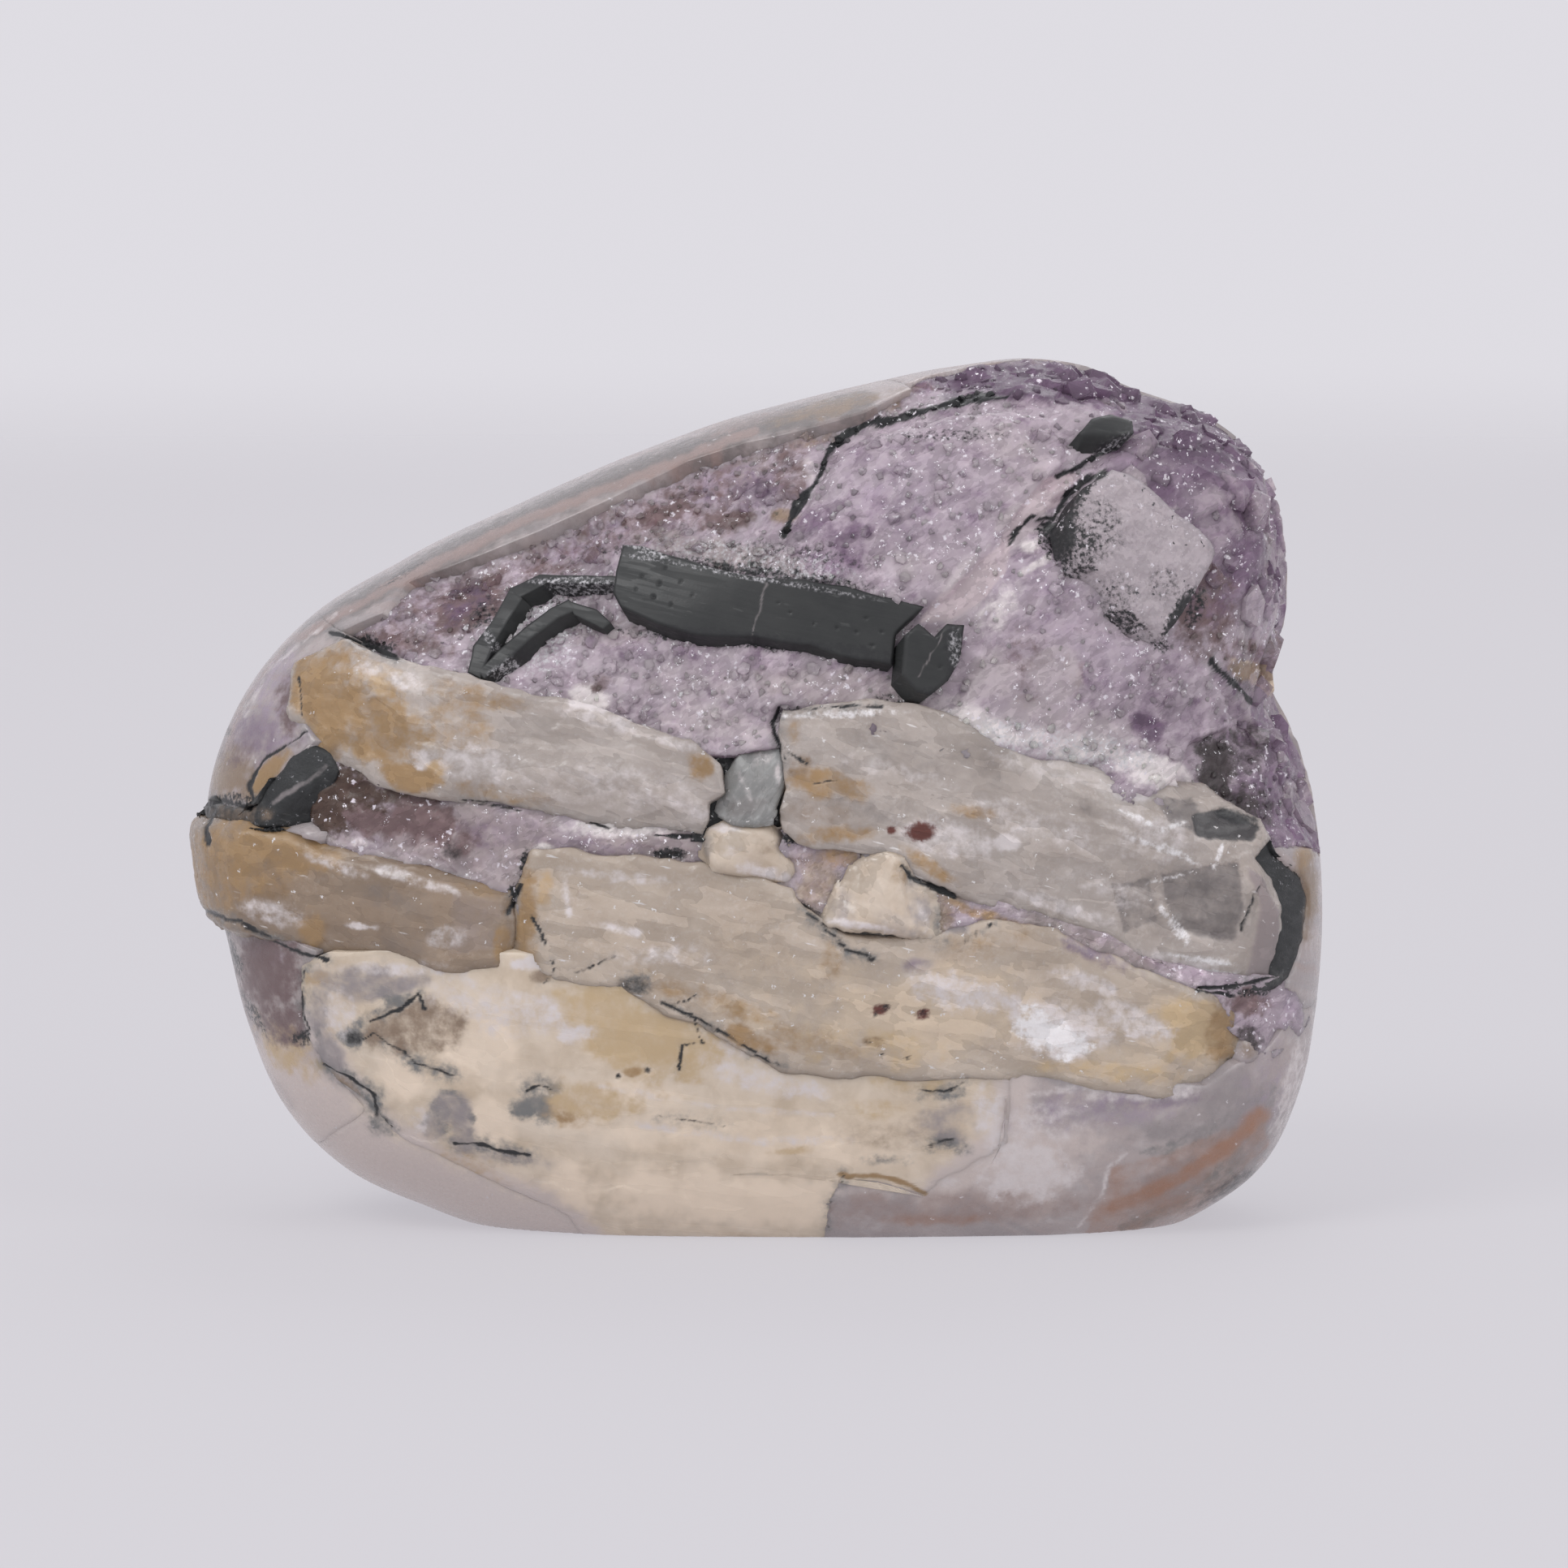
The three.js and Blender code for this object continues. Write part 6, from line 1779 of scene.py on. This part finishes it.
def growPoints(name, sizes, lean):
    # Points of several sizes: each size has its pitch, width, height and where it grows, as the
    # share of places kept.
    grown = []
    for pitch, wide, high, grows in sizes:
        p, q = strew(pitch, liningRing, wide * 0.6)
        at = liningShape(p, q)
        large = coarse(at)
        kept = chance.random(len(p)) < grows(large) * (1 - patches(*seenAt(at), lining["silk"], 30))
        p, q, at, large = p[kept], q[kept], at[kept], large[kept]
        uneven = np.exp(chance.normal(size=len(p)) * 0.28)
        heights = high * uneven * np.exp(chance.normal(size=len(p)) * 0.25)
        grown.append((at, outwardAt(liningShape, p, q), wide * uneven, heights, large))
    feet, out, widths, heights, large = (np.concatenate(part) for part in zip(*grown))
    out = out + chance.normal(size=out.shape) * lean
    out /= np.linalg.norm(out, axis=-1, keepdims=True)
    tone = chance.random(len(feet))
    points, faceSets, marks = crystalPoints(feet, out, widths, heights, tone)
    stains = toned(marksOf(lining, *seenAt(feet)), tone, large)
    marks.update({mark: np.repeat(values, 13) for mark, values in stains.items()})
    makePiece(
        name, "amethyst_druse", amethyst, wornBack(points), faceSets, marks, 0
    )


growPoints("liningPoints", [
    (0.9, 0.7, 0.15, lambda large: 0.16 * (1 - large)),
    (2.0, 1.1, 0.22, lambda large: 0.16 * (1 - large)),
], 0.45)
growPoints("liningLargePoints", [
    (3.2, 2.6, 0.45, lambda large: 0.4 * large),
    (1.7, 1.2, 0.25, lambda large: 0.15 * large),
], 0.4)

# The agate body

# the marks of the polished stone, shared by the body and the finer skins over it
skinMarks = {
    "stains": {
        "haze": [(26, 4, 9, 4, 0.8, 10), (14, 2.4, 6, 1.4, 0.5), (-46, 10, 4, 4, 0.9, -50)],
        "slateAndShade": [(49, 4, 4, 1.3, 0.6, 40), (51.4, 8.6, 1.4, 3.6, 0.5, -30)],
        "grey": [(50, 10, 5, 5, 0.6, 40), (44, 9, 6, 1.6, 0.6, 16), (43, 3, 5, 2, 0.8, 30)],
        "rose": [(20, 0.6, 13, 1.8, 0.6, 2), (-2, 80.8, 5, 0.8, 0.6, 18)],
        "mauve": [
            (-51.4, 49.4, 3, 2.4, 0.7), (-50, 46.4, 1.6, 1, 0.5, 40), (40, 11.4, 6, 0.9, 0.6, 6),
            (32, 11, 4, 1.4, 0.3),
        ],
        "lilac": [
            (-49, 54, 3.6, 6, 0.5, 20), (-50.4, 26.8, 2.4, 1, 0.6, -20), (34, 10.4, 9, 2, 0.4, 4),
            (52.6, 13, 3, 6, 0.3, -10),
        ],
        "tan": [
            (56.4, 33, 1.3, 5.4, 0.9), (8, 82.8, 6, 0.9, 0.7, 14), (-54, 45.2, 2.8, 2.4, 0.95),
            (-52, 43, 2, 1, 0.8), (50.6, 17, 1.4, 1, 0.7),
        ],
        "honey": [(-48.6, 17, 3.4, 1.8, 0.7, -50), (-45.6, 14.4, 1.6, 1.6, 0.5, -40)],
        "ochre": [(56.4, 36.6, 1.2, 1.4, 0.7), (-49.8, 45.4, 3, 1, 0.9, 50)],
        "orange": [(19, -0.8, 5, 0.7, 0.5), (36.4, 0, 2, 1.4, 0.5)],
        "bloom": [
            (30, 9, 5, 2.4, 0.4), (40, 12.2, 5, 0.8, 0.6, 4), (28.6, 4, 4.4, 3, 0.75),
            (16, 3, 5, 0.8, 0.3), (54.8, 12, 1, 7, 0.5, -14),
        ],
        "duskAndShade": [
            (-47.6, 52, 1.6, 3, 0.7), (-54, 47, 2, 2, 0.4), (-50, 24.4, 3.6, 3.8, 0.9, 20),
            (-47.8, 19.6, 2, 2.4, 0.8),
        ],
        "gloomAndShadow": [(48.5, 2.6, 3.6, 0.7, 0.6, 32)],
        "gritAndShadow": [
            (-36, 65.6, 3, 0.3, 0.4, 30), (-54.5, 49.5, 0.8, 0.6, 0.8), (-56, 42, 1.6, 0.7, 0.9),
            (-53, 42.4, 2.6, 0.5, 0.6), (-54, 27.4, 0.7, 2.4, 0.8, 20), (-51.6, 20.6, 0.5, 2, 0.6, 30),
            (-46.4, 18, 1, 0.6, 0.7),
        ],
    },
    "bands": [
        ("haze", [(-50, 14), (-44, 8), (-36, 3), (-26, -1), (-18, -3)], 7.0, 1.0),
        ("haze", [(27, 14), (26.6, 8), (22.6, 4.6), (18, 1.4)], 3.0, 0.9),
        ("peach", [(-46, 12), (-40, 7.6), (-28, 3), (-20, 0.4), (-17, -3)], 4.4, 0.85),
        ("smoke", [
            (-57.4, 44), (-55, 52), (-50.6, 58.2), (-45, 61.6), (-36, 66.3), (-24, 72.1), (-12, 77.3),
            (0, 81.3), (10, 84),
        ], 3.4, 1.0),
        ("rose", [
            (-54, 48), (-52.6, 53), (-48.4, 58.4), (-44.5, 60.4), (-36, 65.1), (-24, 70.9), (0, 80.3),
        ], 0.9, 0.8),
        ("bloom", [(-52.4, 51), (-50, 55.6), (-43, 61.6)], 0.35, 0.4),
        ("ash", [(-55, 25), (-53, 18), (-48, 11)], 1.4, 0.4),
        ("orange", [(37, 0.6), (43, 3.2), (49, 7), (52, 10)], 1.6, 0.7),
        ("slateAndShade", [(38, -1.6), (43, 0.6), (50, 6)], 1.2, 0.7),
        ("bloom", [(33.3, -1.5), (35.6, 2), (36.2, 4.5), (38, 6)], 0.3, 0.5),
        ("bloom", [(28, 12), (34, 13), (42, 13)], 0.6, 0.5),
        ("ochre", [(8.8, 3.9), (12.5, 3.9), (15.4, 3), (17.5, 2)], 0.5, 0.8),
        ("ash", [(50, 3.6), (54.6, 10), (56.6, 18)], 0.8, 0.5),
    ],
    "panels": [
        ("orange", 0.4, 0, [
            (33.4, -2.6), (36, 2), (36.6, 4.8), (42, 6), (47.6, 8.4), (52, 10.4), (53, 7), (46, 0),
            (40, -3),
        ]),
        ("slateAndShade", 0.35, 0, [(38.6, 6), (44, 8), (50, 11), (53, 14), (55, 12), (50.6, 8.4), (43, 5.4)]),
    ],
}
body = {**skinMarks, "columns": 560, "frontRows": 110, "backRows": 46}
skinTop = {
    **skinMarks,
    "name": "skinTop", "node": "stone_body", "slot": "polished_agate",
    "swell": 0.04, "rounding": (0.12, 0.45), "seamDepth": 0.1, "ragged": 0.1, "fades": 1,
    "spacing": 0.25,
    "outline": [
        (-48.5, 63.5), (-38, 69.5), (-26, 75.5), (-12, 81.5), (2, 86), (14, 88.5), (15.6, 84.8),
        (11, 82.6), (6, 81.2), (-1, 79.6), (-7, 77.7), (-13, 74.8), (-19, 72), (-25, 69.4), (-30.5, 67.2),
        (-35.8, 65.2), (-38.6, 62), (-42.5, 60.2),
    ],
    "corners": (0, 5, 6, 17),
}
skinLeft = {
    **skinTop,
    "name": "skinLeft",
    "outline": [
        (-60, 42), (-59, 48), (-54.5, 56.5), (-47.6, 62.8), (-42.5, 59.4), (-45.5, 56.5), (-47.3, 51.5),
        (-45.6, 48.6), (-47.4, 47), (-49.6, 44), (-51, 42.2), (-53.8, 41.6), (-56, 41.6),
    ],
    "corners": (3, 4, 7, 0),
}
skinBelow = {
    **skinTop,
    "name": "skinBelow",
    "outline": [
        (-57.5, 30.6), (-50, 28.6), (-45.4, 26.6), (-46.2, 24), (-46.2, 19.4), (-44.4, 15.2), (-40, 10.6),
        (-46, 7), (-52.6, 13), (-57.5, 22),
    ],
    "corners": (0, 2, 6, 8),
}
skinRight = {
    **skinTop,
    "name": "skinRight", "spacing": 0.3,
    "outline": [
        (8.8, 3.8), (12.6, 3.7), (15.2, 2.9), (17.5, 2.1), (22.6, 5.5), (26, 7.4), (26.3, 12.4),
        (26.5, 15.8), (30, 14.6), (38, 13.2), (46.5, 12.6), (49.6, 14.8), (52.6, 16), (56, 20.6), (61, 22),
        (59, 6), (47, -3), (34, -3), (7, -3), (7.5, 1.2),
    ],
    "corners": (0, 14, 15, 18),
    "chips": [(3.6, 2.2, 30, 0.03, 8)],
}
skins = [skinTop, skinLeft, skinBelow, skinRight]
crystals = [
    bladeUpperLeft, bladeUpperRight, bladeLowerLeft, bladeLower, creamMass, creamLump,
    creamTooth, greyCrystal, endLeft, endRight, *pockets, *skins,
]


def bodySwell(p, q):
    # Level with the skin outside, and well under each crystal and the lining. Each of two pieces
    # that meet covers half of their border, so the body is low under their seam too.
    rest = insideDistance(p, q, liningRing)
    cover, sunk = ease(rest, -0.9, 0.9), np.zeros(p.shape)
    for form in crystals:
        ring = list(zip(*skinMap(*onFace(*np.array(form["outline"], float).T))))
        inside = insideDistance(p, q, ring)
        cover = cover + ease(inside, -0.9, 0.9)
        sunk = np.maximum(sunk, (2.0 - min(form["swell"], 0)) * ease(inside, -0.9, 0.5))
    return -np.maximum(sunk * ease(cover, 0.55, 0.95), 4.5 * ease(rest, -0.1, 1.0))


def makeBody(look):
    # rings round the heart from the middle of the face over the rim to the middle of the back
    frontAt = 1 - (1 - np.linspace(0, 1, body["frontRows"] + 1)[1:]) ** 1.35
    backAt = 1 + np.linspace(0, 1, body["backRows"] + 1)[1:-1] ** 1.1
    way = np.concatenate([frontAt * rimWay, rimWay + (backAt - 1) * backWay[-1]])
    angle = np.arange(body["columns"]) * turn / body["columns"]
    p, q = way[:, None] * np.cos(angle), way[:, None] * np.sin(angle)
    points = skinPoint(p, q, bodySwell(p, q))
    points[..., 2] = np.maximum(points[..., 2], 0)
    marks = marksOf(body, *seenAt(points))
    ahead = 1 - behindRim(points)
    index, after, quads = ringFaces(*p.shape)
    middle = skinPoint(np.zeros(1), np.zeros(1), np.full(1, -1.0))
    end = skinPoint(np.full(1, rimWay + backWay[-1]), np.zeros(1))
    first, last = p.size, p.size + 1
    frontFan = [[first, a, b] for a, b in zip(index[0], after[0])]
    backFan = [[last, b, a] for a, b in zip(index[-1], after[-1])]
    marks = {
        name: np.concatenate([(m * ahead).ravel(), [0, 0]]) for name, m in marks.items()
    }
    points = np.concatenate([points.reshape(-1, 3), middle, end])
    faceSets = [quads, frontFan, backFan]
    smoothFaces = sum(len(faceSet) for faceSet in faceSets)
    makePiece("body", "stone_body", look, points, faceSets, marks, smoothFaces)


def agate(name, form, pieces):
    # Bands follow a slanted distance through the stone, bent by noise: broad grey and pink ones
    # with narrow orange lines between them.
    look, tree, surface, place = newMaterial(name)
    bent = addNode(tree, "ShaderNodeTexNoise", {}, {
        "Vector": place, "Scale": 1 / form["bend"], "Detail": 2.0,
    }).outputs[0]
    slant = addNode(
        tree, "ShaderNodeVectorMath", {"operation": "DOT_PRODUCT"}, {0: place, 1: form["across"]}
    ).outputs["Value"]
    band = worked(tree, "ADD", slant, worked(tree, "MULTIPLY", bent, form["bendBy"]))
    bands = addNode(tree, "ShaderNodeTexNoise", {"noise_dimensions": "1D"}, {
        "W": band, "Scale": 1 / form["band"], "Detail": 3.0, "Roughness": 0.7,
    }).outputs[0]
    first = useGroup(tree, "mottle", {
        "Place": place, "Colour": form["base"], "Second": form["second"],
        "Size": form["cloud"], "Level": 0.5, "Softness": 0.2,
    }).outputs[0]
    second = useGroup(tree, "mottle", {
        "Place": place, "Colour": first, "Second": form["wisp"],
        "Size": form["wispSize"], "Level": 0.6, "Softness": 0.15,
    }).outputs[0]
    grey = ranged(tree, bands, 0.42, 0.6)
    colour = mixColour(tree, worked(tree, "MULTIPLY", grey, 0.6), second, form["grey"])
    orange = worked(tree, "MULTIPLY", ranged(tree, bands, 0.60, 0.68), form["orangeShare"])
    colour = mixColour(tree, orange, colour, form["orange"])
    colour = layStainsAndShade(tree, place, colour, pieces)
    colour = speckle(tree, place, colour, form["specks"])
    tree.links.new(colour, surface.inputs["Base Color"])
    fine = addNode(tree, "ShaderNodeTexNoise", {}, {
        "Vector": place, "Scale": 1.2, "Detail": 4.0,
    }).outputs[0]
    tree.links.new(ranged(tree, fine, 0.3, 0.7, 0.22, 0.36), surface.inputs["Roughness"])
    setInputs(surface, {"Coat Weight": form["coat"], "Coat Roughness": form["coatRough"]})
    glow(surface, form)
    return look


agateLook = {
    "base": (0.355, 0.297, 0.288), "second": (0.43, 0.375, 0.362), "cloud": 14.0,
    "wisp": (0.475, 0.43, 0.42), "wispSize": 2.4, "coat": 0.12, "coatRough": 0.12,
    "grey": (0.315, 0.288, 0.292), "orange": (0.36, 0.22, 0.165),
    "orangeShare": 0.25, "across": (0.25, 0.3, 0.9), "bend": 22.0, "bendBy": 16.0, "band": 6.0,
    "specks": [((0.60, 0.56, 0.57), 0.5, 0.012)],
    "glow": 0.5, "glowTint": (1.0, 0.88, 0.84), "glowDepth": 2.0, "ior": 1.54, "shine": 0.4,
}
polished = agate("agate", agateLook, [body])
makeBody(polished)
for form in skins:
    makeCrystal(form, polished)

# Floor and light

studio = {
    "air": (0.735, 0.72, 0.765),
    "floor": (0.18, 0.18, 0.18),
    "floorGlow": (0.46, 0.445, 0.48),
    "floorRadius": 1.4,
    "fadeFrom": 0.9,
    "fadeTo": 1.3,
    "lamps": [                  # place, width, power
        ("key", (-0.7, -0.9, 1.1), 0.8, 8.2),
        ("fill", (1.0, -0.8, 0.7), 0.9, 3.6),
        ("rear", (0.2, 0.9, 1.0), 0.8, 2.4),
    ],
}


def makeFloor():
    # rings round the stone, glowing like a light tent and fading into the air far out
    rows, columns = 12, 96
    radius = np.linspace(0, 1, rows + 1)[1:, None] * studio["floorRadius"]
    angle = np.arange(columns)[None, :] * turn / columns
    rings = np.stack([radius * np.cos(angle), radius * np.sin(angle), 0 * radius * angle], -1)
    points = np.concatenate([rings.reshape(-1, 3), [[0, 0, 0]]])
    index, after, quads = ringFaces(rows, columns)
    fan = [[index.size, a, b] for a, b in zip(index[0], after[0])]
    mesh = bpy.data.meshes.new("floor")
    mesh.from_pydata(points.tolist(), [], quads + fan)
    look = bpy.data.materials.new("floor")
    look.use_nodes = True
    tree = look.node_tree
    surface = tree.nodes["Principled BSDF"]
    setInputs(surface, {
        "Base Color": (*studio["floor"], 1), "Emission Color": (*studio["floorGlow"], 1),
        "Emission Strength": 1.0, "Roughness": 0.9, "Specular IOR Level": 0.1,
    })
    spot = addNode(tree, "ShaderNodeTexCoord").outputs["Object"]
    away = addNode(tree, "ShaderNodeVectorMath", {"operation": "LENGTH"}, {0: spot}).outputs["Value"]
    faded = ranged(tree, away, studio["fadeFrom"], studio["fadeTo"], 1.0, 0.0)
    tree.links.new(faded, surface.inputs["Alpha"])
    mesh.materials.append(look)
    floor = bpy.data.objects.new("floor", mesh)
    bpy.context.scene.collection.objects.link(floor)


def makeLamps():
    world = bpy.data.worlds.new("tent")
    world.use_nodes = True
    world.node_tree.nodes["Background"].inputs["Color"].default_value = (*studio["air"], 1)
    bpy.context.scene.world = world
    for name, place, width, power in studio["lamps"]:
        lamp = bpy.data.lights.new(name, "AREA")
        lamp.size = width
        lamp.energy = power
        lamp.shape = "DISK"
        holder = bpy.data.objects.new(name, lamp)
        holder.location = place
        toStone = Vector((0, 0, heartZ * mm)) - Vector(place)
        holder.rotation_euler = toStone.to_track_quat("-Z", "Y").to_euler()
        holder.visible_camera = False
        bpy.context.scene.collection.objects.link(holder)


makeFloor()
makeLamps()
